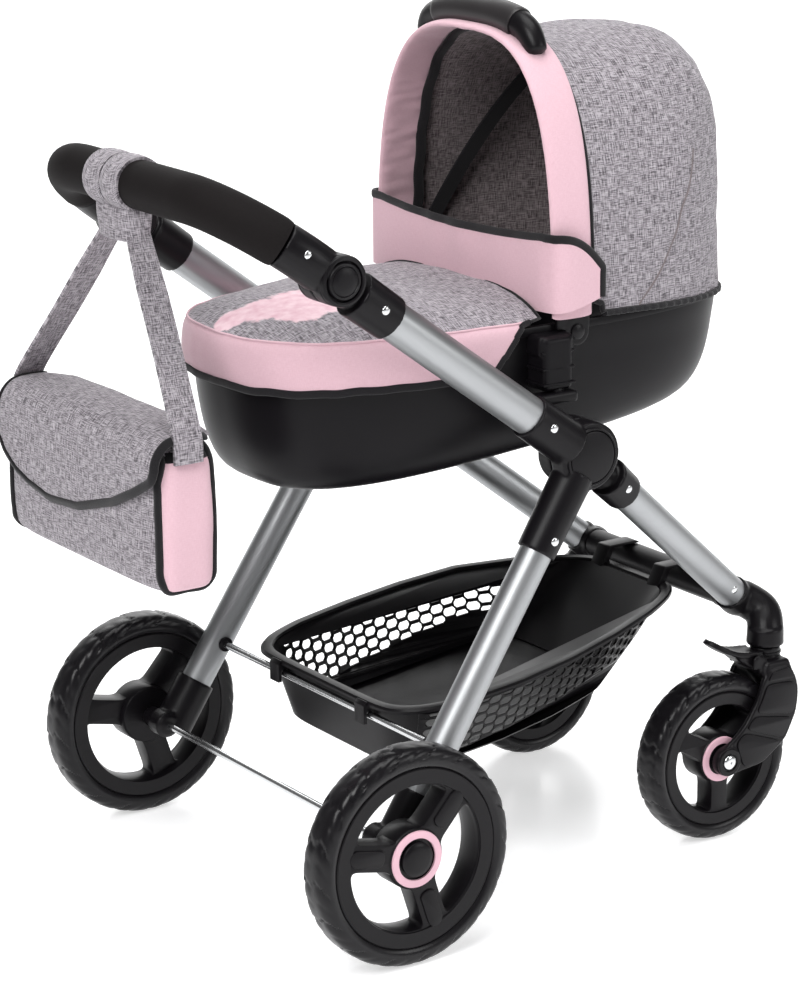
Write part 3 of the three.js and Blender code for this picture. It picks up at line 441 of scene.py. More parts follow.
def anodised(name, colour, roughness):
    """Bare metal with fine drawing lines along it and a slow change of polish."""
    made, tree, shader = new_finish(name, colour, roughness, 1.0)
    coords = wire(tree, "ShaderNodeTexCoord")
    lines = wire(tree, "ShaderNodeMapping", {"Vector": coords.outputs["Object"], "Scale": (30, 900, 30)})
    drawn = wire(tree, "ShaderNodeTexNoise", {"Vector": lines.outputs[0], "Scale": 1.0, "Detail": 3.0})
    cloud = wire(tree, "ShaderNodeTexNoise", {"Vector": coords.outputs["Object"], "Scale": 9.0, "Detail": 2.0})
    both = wire(tree, "ShaderNodeMath", {0: drawn.outputs["Fac"], 1: cloud.outputs["Fac"]}, operation="ADD")
    rough = wire(tree, "ShaderNodeMapRange", {"Value": both.outputs[0], "From Min": 0.6, "From Max": 1.4,
                                              "To Min": roughness - 0.05, "To Max": roughness + 0.07})
    bump = wire(tree, "ShaderNodeBump", {"Height": drawn.outputs["Fac"], "Strength": 0.12, "Distance": 0.0001})
    tree.links.new(rough.outputs[0], shader.inputs["Roughness"])
    tree.links.new(bump.outputs["Normal"], shader.inputs["Normal"])
    return made


SILVER_TUBE = anodised("silver_tube", (0.41, 0.42, 0.43), 0.44)
STEEL = anodised("steel", (0.72, 0.73, 0.74), 0.2)
HUB, KNOB, FOOT, ELBOW = (190.8, 352.3), (-27.6, 513.6), (15.4, 86.5), (400, 181.4)

joints = {}
for side, out in SIDES:
    hub, knob = spot(HUB[0], out * 157.5, HUB[1]), spot(KNOB[0], out * 148.4, KNOB[1])
    foot, elbow = spot(FOOT[0], out * 163.9, FOOT[1]), spot(ELBOW[0], out * 97.6, ELBOW[1])
    joints[side] = (hub, knob, foot, elbow)
    tube = bar(f"handle_tube_{side}_drawn", along(hub, knob, 0.04), along(knob, hub, 0.03), 15)
    dress(tube, SILVER_TUBE, "silver_tube", "chassis", f"handle_tube_{side}")
    tube = bar(f"rear_leg_{side}_drawn", along(hub, foot, 0.062), along(foot, hub, -0.003), 12.8)
    dress(tube, SILVER_TUBE, "silver_tube", "chassis", f"rear_leg_{side}")
    tube = bar(f"front_tube_{side}_drawn", along(hub, elbow, 0.048), along(elbow, hub, 0.022), 12.8)
    dress(tube, SILVER_TUBE, "silver_tube", "front_frame", f"front_tube_{side}")
axle = bar("rear_axle_rod", spot(0, -205.5, 85), spot(0, 205.5, 85), 3, 24)
dress(axle, STEEL, "steel", "chassis", "rear_axle")
hanger = bar("tray_hanging_rod", spot(54, -159.5, 145.6), spot(54, 159.5, 145.6), 3, 24)
dress(hanger, STEEL, "steel", "chassis", "tray_rod")


# ---------------------------------------------------------------- folding hub, knuckles and feet
# The joints are thick-walled mouldings. Their sleeves run into their round bosses in one smooth skin,
# and each sleeve is pinned to its tube by a small domed rivet.
def fuse(name, parts, cell, passes):
    """Melts overlapping parts into one moulded skin with soft inner corners."""
    made = join(*parts)
    made.name = name
    modify(made, "REMESH", mode="VOXEL", voxel_size=cell / 1000)
    modify(made, "SMOOTH", factor=0.5, iterations=passes)
    return made


def block(name, low, high, edge=1.0):
    """A box between two corners in millimetres, with rounded edges."""
    bpy.ops.object.select_all(action="DESELECT")
    bpy.ops.mesh.primitive_cube_add(size=1, location=(0, 0, 0))
    made = bpy.context.object
    made.name = name
    a, b = spot(*low), spot(*high)
    reach = b - a
    made.data.transform(Matrix.Translation((a + b) / 2) @ Matrix.Diagonal((reach.x, abs(reach.y), reach.z, 1)))
    edit(made, face_out)
    if edge:
        modify(made, "BEVEL", width=edge / 1000, segments=3, limit_method="NONE")
    return made


def rivet(name, place, out, body, size=3.4):
    """A domed rivet head facing sideways."""
    head = turned(name, [(0, -out * 2), (size, -out * 2), (size, out * 0.25), (size * 0.86, out * 0.75),
                         (size * 0.5, out * 1.15), (0, out * 1.3)], place, steps=28)
    return dress(head, STEEL, "steel", body, angle=60)


def on_hub(out_by):
    """A place on the hub's axis, this far to one side of the middle."""
    return spot(HUB[0], out_by, HUB[1])


for side, out in SIDES:
    hub, knob, foot, elbow = joints[side]
    fixed = fuse(f"hub_{side}_moulding", [
        bar("boss", on_hub(out * 151), on_hub(out * 168), 26.4, 64),
        bar("sleeve", along(hub, knob, 0.016), along(hub, knob, 0.0622), 18.2, 56, 17.4),
        bar("sleeve", along(hub, foot, 0.016), along(hub, foot, 0.0832), 16.2, 56, 15.2),
    ], 1.1, 5)
    dress(fixed, BLACK_PLASTIC, "black_plastic", "chassis", f"hub_{side}")
    cap = turned(f"hub_{side}_disc", [
        (0, out * 166), (22.6, out * 166), (22.6, out * 169.2), (22, out * 169.9), (20.9, out * 169.9),
        (20.4, out * 168.9), (19.8, out * 169.9), (18.5, out * 170.3), (0, out * 170.6)],
        spot(HUB[0], 0, HUB[1]), steps=72)
    edit(cap, face_out)
    dress(cap, BLACK_PLASTIC, "black_plastic", "chassis", f"hub_{side}_cap")
    arm = fuse(f"front_arm_{side}_moulding", [
        bar("boss", on_hub(out * 134.5), on_hub(out * 149.2), 26.4, 64),
        bar("neck", on_hub(out * 141.6), along(hub, elbow, 0.05), 8, 40),
        bar("sleeve", along(hub, elbow, 0.0385), along(hub, elbow, 0.0655), 16.1, 56, 15.4),
        bar("web", along(on_hub(out * 141.6), elbow, 0.012), along(hub, elbow, 0.046), 7.6, 40, 12.5),
    ], 1.1, 5)
    dress(arm, BLACK_PLASTIC, "black_plastic", "front_frame", f"front_arm_{side}")
    side_way = Vector((0, out, 0))
    for spot_name, base, end, run, reach, body in (
            ("handle_arm", hub, knob, 0.0485, 0.0177, "chassis"),
            ("leg_arm", hub, foot, 0.0705, 0.0157, "chassis"),
            ("front_arm", hub, elbow, 0.0535, 0.0157, "front_frame"),
            ("tube_end", elbow, hub, 0.0335, 0.0128, "front_frame")):
        rivet(f"rivet_{spot_name}_{side}", along(base, end, run) + side_way * (reach - 0.0002), out, body)

    # The tilting knuckle: the lower half is fixed to the handle tube, and the upper half carries the
    # grip's bend.
    low_in, split = out * 133.2, out * 147.9
    lower = fuse(f"knuckle_lower_{side}_moulding", [
        bar("boss", spot(KNOB[0], low_in, KNOB[1]), spot(KNOB[0], split, KNOB[1]), 19, 56),
        bar("sleeve", along(knob, hub, 0.0225), along(knob, hub, 0.0595), 18, 56, 17.2),
        bar("throat", spot(KNOB[0], out * 140, KNOB[1]), along(knob, hub, 0.03), 7.8, 40, 14.5),
    ], 1.1, 5)
    dress(lower, BLACK_PLASTIC, "black_plastic", "chassis", f"knuckle_lower_{side}")
    rivet(f"rivet_knuckle_{side}", along(knob, hub, 0.042) + side_way * 0.0174, out, "chassis")

    # The foot at the bottom of the rear leg is a closed sleeve with the axle's boss through it.
    sole = fuse(f"leg_foot_{side}_moulding", [
        bar("sleeve", along(foot, hub, 0.0338), along(foot, hub, -0.0115), 15.7, 56, 16.2),
        bar("boss", spot(0, out * 150, 85), spot(0, out * 181, 85), 8.3, 40),
        bar("shoulder", spot(0, out * 152, 85), spot(0, out * 168, 85), 11, 40),
    ], 1.1, 5)
    dress(sole, BLACK_PLASTIC, "black_plastic", "chassis", f"leg_foot_{side}")
    # The rod's washer sits on the leg where the rod comes through.
    washer = turned(f"rod_washer_{side}", [
        (3.1, out * -1.2), (6, out * -1.2), (6.2, out * 0.4), (3.1, out * 0.8)],
        spot(54, out * 148.4, 145.6), steps=36)
    edit(washer, face_out)
    dress(washer, BLACK_PLASTIC, "black_plastic", "chassis")


# ---------------------------------------------------------------- front bar, elbows and casters
# A black bar joins the two front elbows. Each elbow turns the frame tube down onto a caster's stem. The
# fork is a hollow moulding with raised panels on its cheeks, and a duck-billed lever behind the stem
# locks its swivel.
def smooth_line(points, count):
    """A flowing line through the points, evenly spaced."""
    knots = [np.array(p, float) for p in points]
    knots = [2 * knots[0] - knots[1], *knots, 2 * knots[-1] - knots[-2]]
    line = []
    for a, b, c, d in zip(knots, knots[1:], knots[2:], knots[3:]):
        for t in np.linspace(0, 1, 24, endpoint=False):
            line.append(0.5 * (2 * b + (c - a) * t + (2 * a - 5 * b + 4 * c - d) * t * t
                               + (3 * b - a - 3 * c + d) * t ** 3))
    line = np.array([*line, knots[-2]])
    run = np.concatenate([[0], np.cumsum(np.linalg.norm(np.diff(line, axis=0), axis=1))])
    stops = np.linspace(0, run[-1], count)
    return np.column_stack([np.interp(stops, run, line[:, k]) for k in range(3)])


def tube(name, line, radius, closed=False, capped=True, sides=6):
    """A round tube along a line of places. The radius is one value, or one for each place, in millimetres."""
    radii = np.broadcast_to(radius, len(line))
    curve = bpy.data.curves.new(name, "CURVE")
    curve.dimensions = "3D"
    curve.bevel_depth = 0.001
    curve.bevel_resolution = sides
    curve.use_fill_caps = capped
    spline = curve.splines.new("POLY")
    spline.points.add(len(line) - 1)
    spline.use_cyclic_u = closed
    for point, place, wide in zip(spline.points, line, radii):
        point.co = (*place, 1)
        point.radius = wide
    made = bpy.data.objects.new(name, curve)
    bpy.context.scene.collection.objects.link(made)
    take(made)
    bpy.ops.object.convert(target="MESH")
    made = bpy.context.object
    edit(made, weld, face_out)
    return made


def panel(outline, shrink=0.9):
    """A rounded copy of an outline, drawn in from its edges."""
    loop = even(outline, 60)
    middle = loop.mean(0)
    return rounded([middle + (corner - middle) * shrink for corner in loop], 60, 6)


CHEEK = [(392, 138), (412, 138), (418, 128), (421, 116), (419, 98), (408, 76), (384, 60), (352, 56.5), (340, 59),
         (334, 68), (338, 78), (352, 84), (366, 96), (378, 114), (384, 132)]
CROWN = [(384, 133), (389, 144), (412, 144), (417, 131), (420.5, 117), (419, 106), (414, 106), (407, 118),
         (398, 128), (390, 132)]
OUTER_EDGE = [(409, 139), (417, 127), (420, 112), (416.5, 95), (405.5, 76.5), (384, 61.5), (362, 57.6)]
INNER_EDGE = [(391, 137), (385, 129), (379, 114), (372, 103.5), (362, 92.5), (360, 90), (352, 84.2)]
PANELS = ((0, 1), (1, 3), (3, 4), (4, 6))
LEVER = [(391, 149.5), (384, 150.4), (375, 151.4), (366, 153.4), (357, 157.2), (349, 162), (342.6, 167)]
LEVER_ROOT = [(393, 136.5), (396, 147), (388, 151), (374, 152), (363, 152), (368, 146.5), (378, 139),
              (386, 135.5)]


def skin(name, grid, core=None, close_across=False):
    """A smooth sheet through rows of places, with its threads' run in metres as its UVs."""
    grid = np.array(grid, float)
    rows, columns = grid.shape[:2]
    bpy.ops.object.select_all(action="DESELECT")
    bpy.ops.mesh.primitive_grid_add(x_subdivisions=columns - 1, y_subdivisions=rows - 1, size=1,
                                    location=(0, 0, 0))
    made = bpy.context.object
    made.name = name
    made.data.vertices.foreach_set("co", grid.reshape(-1))
    steps_across = np.linalg.norm(np.diff(grid, axis=1), axis=2)
    steps_down = np.linalg.norm(np.diff(grid, axis=0), axis=2)
    across = np.concatenate([np.zeros((rows, 1)), np.cumsum(steps_across, 1)], 1)
    down = np.concatenate([np.zeros((1, columns)), np.cumsum(steps_down, 0)], 0)
    across -= across[:, -1:] / 2
    corners = np.zeros(len(made.data.loops), int)
    made.data.loops.foreach_get("vertex_index", corners)
    threads = np.column_stack([across.reshape(-1)[corners], down.reshape(-1)[corners]])
    made.data.uv_layers.active.data.foreach_set("uv", threads.reshape(-1))
    made.data.update()
    if core is not None:
        lean = sum(face.normal.dot(face.center - Vector(core)) * face.area for face in made.data.polygons)
        if lean < 0:
            edit(made, lambda: bpy.ops.mesh.flip_normals())
    if close_across:
        edit(made, weld)
    return made


for side, out in SIDES:
    hub, knob, foot, elbow = joints[side]
    stem_x, wy = 402, out * 125
    tube_end = along(elbow, hub, 0.022)
    bend_line = smooth_line([tube_end, along(tube_end, hub, -0.012), spot(399, out * 101, 186),
                             spot(408, out * 113, 177), spot(404, out * 123, 165),
                             spot(stem_x, wy, 154)], 40)
    turn = fuse(f"front_elbow_{side}_moulding", [
        tube("bend", bend_line, 14.9, sides=8),
        bar("shoulder", spot(389, out * 84.5, 191), spot(389, out * 101, 191), 13, 40),
        bar("skirt", spot(stem_x, wy, 154), spot(stem_x, wy, 168), 15.4, 44, 14.6),
    ], 1.1, 5)
    dress(turn, BLACK_PLASTIC, "black_plastic", "front_frame", f"front_elbow_{side}")
    cheeks = [plate("cheek", [rounded(CHEEK, 90, 3)], 5.2, 1.2, spot(0, wy + s * 19.6, 0)) for s in (-1, 1)]
    bosses = [bar("boss", spot(347, wy + s * 16, 69), spot(347, wy + s * 23.4, 69), 12, 48) for s in (-1, 1)]
    fork = fuse(f"fork_{side}_moulding", [
        *cheeks, *bosses, plate("crown", [rounded(CROWN, 80, 2)], 41, 3, spot(0, wy, 0)),
        bar("stem", spot(stem_x, wy, 134), spot(stem_x, wy, 152.8), 12.3, 48),
        block("tie", (384, wy - 15.5, 134), (395, wy + 15.5, 140.5), 1.5),
        *[plate("ear", [[(378, 139), (378, 148), (383, 151), (391, 147), (391, 136)]], 3.4, 0.6,
                spot(0, wy + s * 14.7, 0)) for s in (-1, 1)],
    ], 1.15, 3)
    dress(fork, BLACK_PLASTIC, "black_plastic", f"caster_{side}", f"fork_{side}", angle=50)
    for s in (-1, 1):
        face = wy + s * 22.6
        raised = []
        for first, last in PANELS:
            outline = [*OUTER_EDGE[first:last + 1], *INNER_EDGE[first:last + 1][::-1]]
            raised.append(plate("panel", [panel(outline, 0.88)], 1.8, 0.7, spot(0, face, 0)))
        fascia = join(*raised)
        fascia.name = f"fork_{side}_panels_{'outer' if s == out else 'inner'}"
        dress(fascia, BLACK_PLASTIC, "black_plastic", f"caster_{side}")
        head = turned(f"wheel_screw_{side}_{'outer' if s == out else 'inner'}", [
            (0, s * 22), (6.2, s * 22), (6.2, s * 24.6), (5.4, s * 25.6), (3.4, s * 26.3), (1.2, s * 26.4),
            (1, s * 25.4), (0, s * 25.4)], spot(347, wy, 69), steps=40)
        edit(head, face_out)
        dress(head, STEEL, "steel", f"caster_{side}", angle=60)
        ring = turned(f"wheel_boss_{side}_{'outer' if s == out else 'inner'}", [
            (6.6, s * 22), (11.4, s * 22), (11.6, s * 24.4), (10.6, s * 25.2), (8, s * 25.2),
            (6.8, s * 24.2)], spot(347, wy, 69), steps=56)
        edit(ring, face_out)
        dress(ring, BLACK_PLASTIC, "black_plastic", f"caster_{side}")
    ring = turned(f"stem_ring_{side}", [(12.0, -1), (13.1, -1), (13.3, 0), (13.1, 1), (12.0, 1)], steps=56)
    ring.data.transform(Matrix.Translation(spot(stem_x, wy, 147.5)) @ Matrix.Rotation(math.pi / 2, 4, "X"))
    dress(ring, BLACK_PLASTIC, "black_plastic", f"caster_{side}")

    spine = smooth_line([(x, 0, z) for x, z in LEVER], 26)
    grid = []
    for k, (x, _, z) in enumerate(spine):
        run = k / 25
        wide = 11.4 * math.sqrt(max(1 - (max(run - 0.62, 0) / 0.385) ** 2, 0.0))
        grid.append([spot(x, wy + wide * w, z + 1.6 * (w * w) * (wide / 11.4) + 0.4)
                     for w in np.linspace(-1, 1, 21)])
    lever = skin(f"lock_lever_{side}_paddle", grid, spot(370, wy, 60))
    modify(lever, "SOLIDIFY", thickness=0.0042, offset=-1)
    edit(lever, face_out)
    root = plate("root", [rounded(LEVER_ROOT, 80, 3)], 22, 2.5, spot(0, wy, 0))
    lever = fuse(f"lock_lever_{side}_paddle", [lever, root], 0.9, 3)
    dress(lever, BLACK_PLASTIC, "black_plastic", f"lock_lever_{side}", f"lock_lever_{side}", angle=50)

cross = bar("front_cross_bar", spot(389, -84, 191), spot(389, 84, 191), 12)
dress(cross, BLACK_PLASTIC, "black_plastic", "front_frame", "front_bar")


# ---------------------------------------------------------------- shopping tray
# The tray is one deep plastic moulding with six-sided holes in its sides and plain ends, a rolled rim
# and rounded corners. It hangs by two hooks on the steel rod, and two flat tongues rest over the front
# bar.
TRAY_RIM = ((108, 157), (119, 163), (122, 170), (119, 178), (109, 186), (88, 190), (60, 192))
TRAY_STATIONS = np.linspace(56, 360, 7)
SIDE_SHARE = 0.88
END_SHARE = (1 - SIDE_SHARE ** 8) ** (1 / 8)


def tray_place(across, sideways, depth, inset=0.0, lift=0.0):
    """A place on the tray: across runs -1 to 1 from rear to front, sideways -1 to 1 from right to left."""
    rear, front = 56 + 14 * depth + inset, 360 - 82 * depth - inset
    x = rear + (front - rear) * (1 + across) / 2
    width = np.interp(x, TRAY_STATIONS, [w for w, _ in TRAY_RIM])
    rim = np.interp(x, TRAY_STATIONS, [z for _, z in TRAY_RIM])
    return spot(x, sideways * (width - depth * 24 - inset), rim - depth * 60 + lift)


def bulge(share):
    return (1 - abs(share) ** 8) ** (1 / 8)


def tray_loop(count_side, count_end):
    """Pairs round the tray's plan, starting at the rear corner of the right side."""
    along_side = np.linspace(-SIDE_SHARE, SIDE_SHARE, count_side)
    along_end = np.linspace(-END_SHARE, END_SHARE, count_end)
    loop = [(a, -bulge(a)) for a in along_side] + [(bulge(b), b) for b in along_end[1:-1]]
    loop += [(a, bulge(a)) for a in along_side[::-1]] + [(-bulge(b), b) for b in along_end[::-1][1:-1]]
    return [*loop, loop[0]]


def slot_hole(x, z, low, high):
    """A rounded six-sided hole, cut off flat where it passes the edge of the pattern."""
    ring = ((-5.2, 1.3), (-3.3, 3.5), (3.3, 3.5), (5.2, 1.3), (5.2, -1.3), (3.3, -3.5), (-3.3, -3.5),
            (-5.2, -1.3))
    return [(x + a, min(max(z + b, low + 0.02 * a), high + 0.02 * a)) for a, b in ring]


WALL_TOP, WALL_LOW, SLANT = 0.05, 0.93, 63
walls = []


def end_x(z, share):
    """The x at a share of the wall's length, at a height below the rim."""
    depth = -z / SLANT
    rear, front = 56 + 14 * depth, 360 - 82 * depth
    return rear + (front - rear) * (1 + share) / 2


for side, out in SIDES:
    edge_z = np.linspace(-WALL_TOP * SLANT, -WALL_LOW * SLANT, 12)
    outline = [(end_x(z, -SIDE_SHARE), z) for z in edge_z[::-1]]
    outline += [(x, edge_z[0]) for x in np.linspace(outline[-1][0], end_x(edge_z[0], SIDE_SHARE), 60)[1:-1]]
    outline += [(end_x(z, SIDE_SHARE), z) for z in edge_z]
    outline += [(x, edge_z[-1]) for x in np.linspace(outline[-1][0], outline[0][0], 60)[1:-1]]
    holes = []
    for row in range(11):
        z = -8.8 - 4.85 * row
        low, high = end_x(z, -SIDE_SHARE) + 7, end_x(z, SIDE_SHARE) - 7
        for step in range(16):
            x = 66 + 21 * step + (10.5 if row % 2 else 0)
            base = -55 + 17 * min(1.0, max(0.0, (x - 90) / 170))
            if low < x < high and z + 3.5 > base + 1.2:
                holes.append(slot_hole(x, z, base, -9.5))
    wall = plate("wall", [outline, *holes], 2.2, 0.35)
    for corner in wall.data.vertices:
        x, y, z = corner.co * 1000
        depth = -z / SLANT
        rear, front = 56 + 14 * depth, 360 - 82 * depth
        across = max(-1.0, min(1.0, 2 * (x - rear) / (front - rear) - 1))
        corner.co = tray_place(across, out * bulge(across), depth, inset=1.1 + out * y)
    edit(wall, face_out)
    walls.append(wall)

for way in (-1, 1):
    span = np.linspace(-END_SHARE, END_SHARE, 60)
    end_wall = skin("end_wall", [[tray_place(way * bulge(b), b, depth, 0.2) for b in span]
                                 for depth in np.linspace(WALL_TOP, WALL_LOW, 9)], spot(200, 0, 150))
    modify(end_wall, "SOLIDIFY", thickness=0.0022, offset=-1)
    edit(end_wall, face_out)
    walls.append(end_wall)
rim_section = ((2.8, -4.2), (3.2, -1.2), (2.2, 0.3), (-1.5, 0.9), (-4.6, 0.4), (-5.8, -1.2), (-5.8, -3.4),
               (-4.6, -3.4), (-4.2, -2.2), (0.2, -1.8), (0.4, -4.2), (2.8, -4.2))
loop = tray_loop(70, 50)
lip = skin("lip", [[tray_place(a, b, 0, inset, drop) for a, b in loop] for inset, drop in rim_section])
edit(lip, weld, face_out)
walls.append(lip)
floor_section = ((0.92, 0.1, 0), (0.955, 1.2, 0), (0.985, 4.5, 0), (1, 9, 0), (1, 30, 0), (1, 60, 0),
                 (1, 60, 2.2), (1, 30, 2.2), (1, 10, 2.2), (0.985, 6.4, 1.9), (0.955, 3.4, 1.2), (0.92, 2.4, 0.2),
                 (0.92, 0.1, 0))
base = skin("base", [[tray_place(a, b, depth, inset, lift) for a, b in loop]
                     for depth, inset, lift in floor_section])
edit(base, weld, face_out)
middle = skin("middle", [[tray_place(a, b, 1, 55, 1.1) for b in np.linspace(-1, 1, 12)]
                         for a in np.linspace(-1, 1, 30)], spot(200, 0, 60))
modify(middle, "SOLIDIFY", thickness=0.0022, offset=0)
hooks = []
for y in (-62, 62):
    arc = [(54 + 3.5 * math.cos(t), 145.6 + 3.5 * math.sin(t)) for t in np.linspace(0, math.pi, 13)]
    outline = [(57.9, 139), (58.4, 156), (50, 157), (47.4, 154), (47.4, 139), (50.5, 139), *arc[::-1],
               (57.5, 139)]
    hooks.append(plate("hook", [outline[::-1]], 13.6, 0.4, spot(0, y, 0)))
TONGUE = [(352, 188), (361, 205.8), (389, 206), (393.4, 204.6), (393.4, 203.6), (367, 203.4), (358, 186)]
tongues = [plate("tongue", [rounded(TONGUE, 90, 1)], 15, 0.5, spot(0, y, 0)) for y in (-38, 38)]
basket = join(*walls, base, middle, *hooks, *tongues)
basket.name = "shopping_tray"
dress(basket, BLACK_PLASTIC, "black_plastic", "tray", "tray", angle=32)


# ---------------------------------------------------------------- cloths
# The grey cloth is a melange weave of dark and light threads, and the pink one is a close satin weave.
# Edges are bound with folded black tape. Patterns follow the threads' run in metres.
weave, weave_in, weave_out = new_group(
    "thread_streaks",
    [("Vector", VECTOR, None), ("Dark", COLOUR, None), ("Light", COLOUR, None), ("Width", FLOAT, 0.0011),
     ("Length", FLOAT, 0.0075), ("Contrast", FLOAT, 1.0)],
    [("Colour", COLOUR), ("Height", FLOAT), ("Roughness", FLOAT)])
thin = wire(weave, "ShaderNodeMath", {0: 1.0, 1: weave_in.outputs["Width"]}, operation="DIVIDE")
long = wire(weave, "ShaderNodeMath", {0: 1.0, 1: weave_in.outputs["Length"]}, operation="DIVIDE")
streaks = []
for first, second, start in ((thin, long, 0.0), (long, thin, 31.0)):
    run = wire(weave, "ShaderNodeCombineXYZ", {"X": first.outputs[0], "Y": second.outputs[0], "Z": 1.0})
    placed = wire(weave, "ShaderNodeVectorMath",
                  {0: weave_in.outputs["Vector"], 1: run.outputs[0], 2: (start, 0, 0)},
                  operation="MULTIPLY_ADD")
    streaks.append(wire(weave, "ShaderNodeTexNoise", {"Vector": placed.outputs[0], "Scale": 1.0,
                                                      "Detail": 1.5, "Roughness": 0.6}))
both = wire(weave, "ShaderNodeMath", {0: streaks[0].outputs["Fac"], 1: streaks[1].outputs["Fac"]},
            operation="ADD")
drift = wire(weave, "ShaderNodeMath", {0: both.outputs[0], 1: 1.0}, operation="SUBTRACT")
push = wire(weave, "ShaderNodeMath", {0: drift.outputs[0], 1: weave_in.outputs["Contrast"], 2: 0.5},
            operation="MULTIPLY_ADD", use_clamp=True)
threads = wire(weave, "ShaderNodeMix", {"Factor": push.outputs[0]}, data_type="RGBA")
weave.links.new(weave_in.outputs["Dark"], threads.inputs[6])
weave.links.new(weave_in.outputs["Light"], threads.inputs[7])
rough = wire(weave, "ShaderNodeMapRange", {"Value": both.outputs[0], "From Min": 0.6, "From Max": 1.4,
                                           "To Min": 0.85, "To Max": 1.0})
weave.links.new(threads.outputs[2], weave_out.inputs["Colour"])
weave.links.new(both.outputs[0], weave_out.inputs["Height"])
weave.links.new(rough.outputs[0], weave_out.inputs["Roughness"])


def cloth(name, dark, light, contrast, width=0.0011, length=0.0075, depth=0.0003, sheen=0.15):
    """A woven cloth of dark and light threads, each as wide and as long as given, in metres."""
    made, tree, shader = new_finish(name, light, 0.9)
    coords = wire(tree, "ShaderNodeTexCoord")
    weft = wire(tree, "ShaderNodeGroup", {}, node_tree=weave)
    tree.links.new(coords.outputs["UV"], weft.inputs["Vector"])
    for label, value in (("Dark", (*dark, 1)), ("Light", (*light, 1)), ("Width", width), ("Length", length),
                         ("Contrast", contrast)):
        weft.inputs[label].default_value = value
    bump = wire(tree, "ShaderNodeBump", {"Height": weft.outputs["Height"], "Strength": 0.5, "Distance": depth})
    tree.links.new(weft.outputs["Colour"], shader.inputs["Base Color"])
    tree.links.new(weft.outputs["Roughness"], shader.inputs["Roughness"])
    tree.links.new(bump.outputs["Normal"], shader.inputs["Normal"])
    shader.inputs["Sheen Weight"].default_value = sheen
    shader.inputs["Specular IOR Level"].default_value = 0.25
    return made


GREY_CLOTH = cloth("grey_fabric", (0.085, 0.074, 0.086), (0.5, 0.465, 0.5), 3.2, width=0.0006, length=0.0085)
LINING = cloth("lining_fabric", (0.07, 0.056, 0.058), (0.32, 0.275, 0.28), 3.0, width=0.0006, length=0.0085)
PINK_CLOTH = cloth("pink_fabric", (0.7, 0.44, 0.505), (0.8, 0.55, 0.615), 1.0, width=0.0006, length=0.004,
                   depth=0.00012, sheen=0.3)
BLACK_TAPE = cloth("black_tape", (0.004, 0.0035, 0.0045), (0.014, 0.0125, 0.015), 1.5, width=0.0006,
                   length=0.0012, depth=0.0002, sheen=0.2)


def ripple(place, size, seed):
    """A soft random height between -1 and 1."""
    return noise.noise(Vector(place) / size + Vector((seed * 7.3, seed * 3.1, seed * 5.7)))


def lay_threads(piece):
    """Runs the threads along and across the pram on each face, as on cloth cut straight."""
    mesh = piece.data
    spots = np.zeros(len(mesh.vertices) * 3)
    mesh.vertices.foreach_get("co", spots)
    spots = spots.reshape(-1, 3)
    layer = mesh.uv_layers.active.data
    for face in mesh.polygons:
        lean = [abs(v) for v in face.normal]
        a, b = ((1, 2), (0, 2), (0, 1))[lean.index(max(lean))]
        for corner in face.loop_indices:
            place = spots[mesh.loops[corner].vertex_index]
            layer[corner].uv = (place[a], place[b])


def row_of(points, count):
    """The line through the points, evenly spaced."""
    line = np.array(points, float)
    run = np.concatenate([[0], np.cumsum(np.linalg.norm(np.diff(line, axis=0), axis=1))])
    stops = np.linspace(0, run[-1], count)
    return np.column_stack([np.interp(stops, run, line[:, k]) for k in range(3)])


# ---------------------------------------------------------------- carrycot tub
# The cot is a deep satin tub moulded in one piece, a little shallower at the head end, with a thin
# ledge under its rim. A bracket on each side drops over a post on the frame, and a half-round ear
# carries the hood's hinge.
COT_X, HALF_LENGTH, HALF_WIDTH, SQUARE = 186, 222, 114, 2.9


def oval(inset, side_inset, z, count=200, turn=0.0, span=2 * math.pi, sink=True):
    """Places round the cot's plan, drawn in from its full size."""
    ring = []
    for t in np.linspace(turn, turn + span, count):
        c, s = math.cos(t), math.sin(t)
        x = COT_X + (HALF_LENGTH - inset) * math.copysign(abs(c) ** (2 / SQUARE), c)
        y = (HALF_WIDTH - side_inset) * math.copysign(abs(s) ** (2 / SQUARE), s)
        low = 0.085 * (x - 50) * (445 - z) / 118 if sink else 0
        ring.append(spot(x, y, z + low))
    return ring


def flowing(stations, count):
    """A table of values smoothed into more stations."""
    return smooth_line([tuple(row) for row in stations], count)


OUTSIDE = [(221.9, 113.9, 327), (110, 76, 327), (70, 52, 327.4), (50, 37, 328.8), (34, 26, 332.5),
           (22.5, 18, 339.5), (15, 12.4, 350), (10, 8.4, 363), (6.6, 5.6, 377), (3.8, 3.4, 395), (2, 2, 412),
           (0.4, 0.4, 428), (0, 0, 436)]
INSIDE = [(2.6, 2.6, 444.8), (4.8, 4.8, 412), (11, 9, 377), (22, 18, 352), (33, 26, 341), (48, 37, 334),
          (70, 54, 330.6), (120, 80, 329.8), (221.9, 113.9, 329.8)]
rows = [oval(*row) for row in flowing(OUTSIDE, 46)]
rows += [oval(0, 0, 437.2), oval(-0.3, -0.3, 437.6), oval(-1.4, -1.4, 437.8), oval(-1.6, -1.6, 438.4),
         oval(-1.6, -1.6, 444), oval(-1.2, -1.2, 445), oval(1.8, 1.8, 445.4), oval(2.5, 2.5, 445.1)]
rows += [oval(*row) for row in flowing(INSIDE, 34)]
tub = skin("tub", rows)
edit(tub, weld, face_out)
parts = [tub]
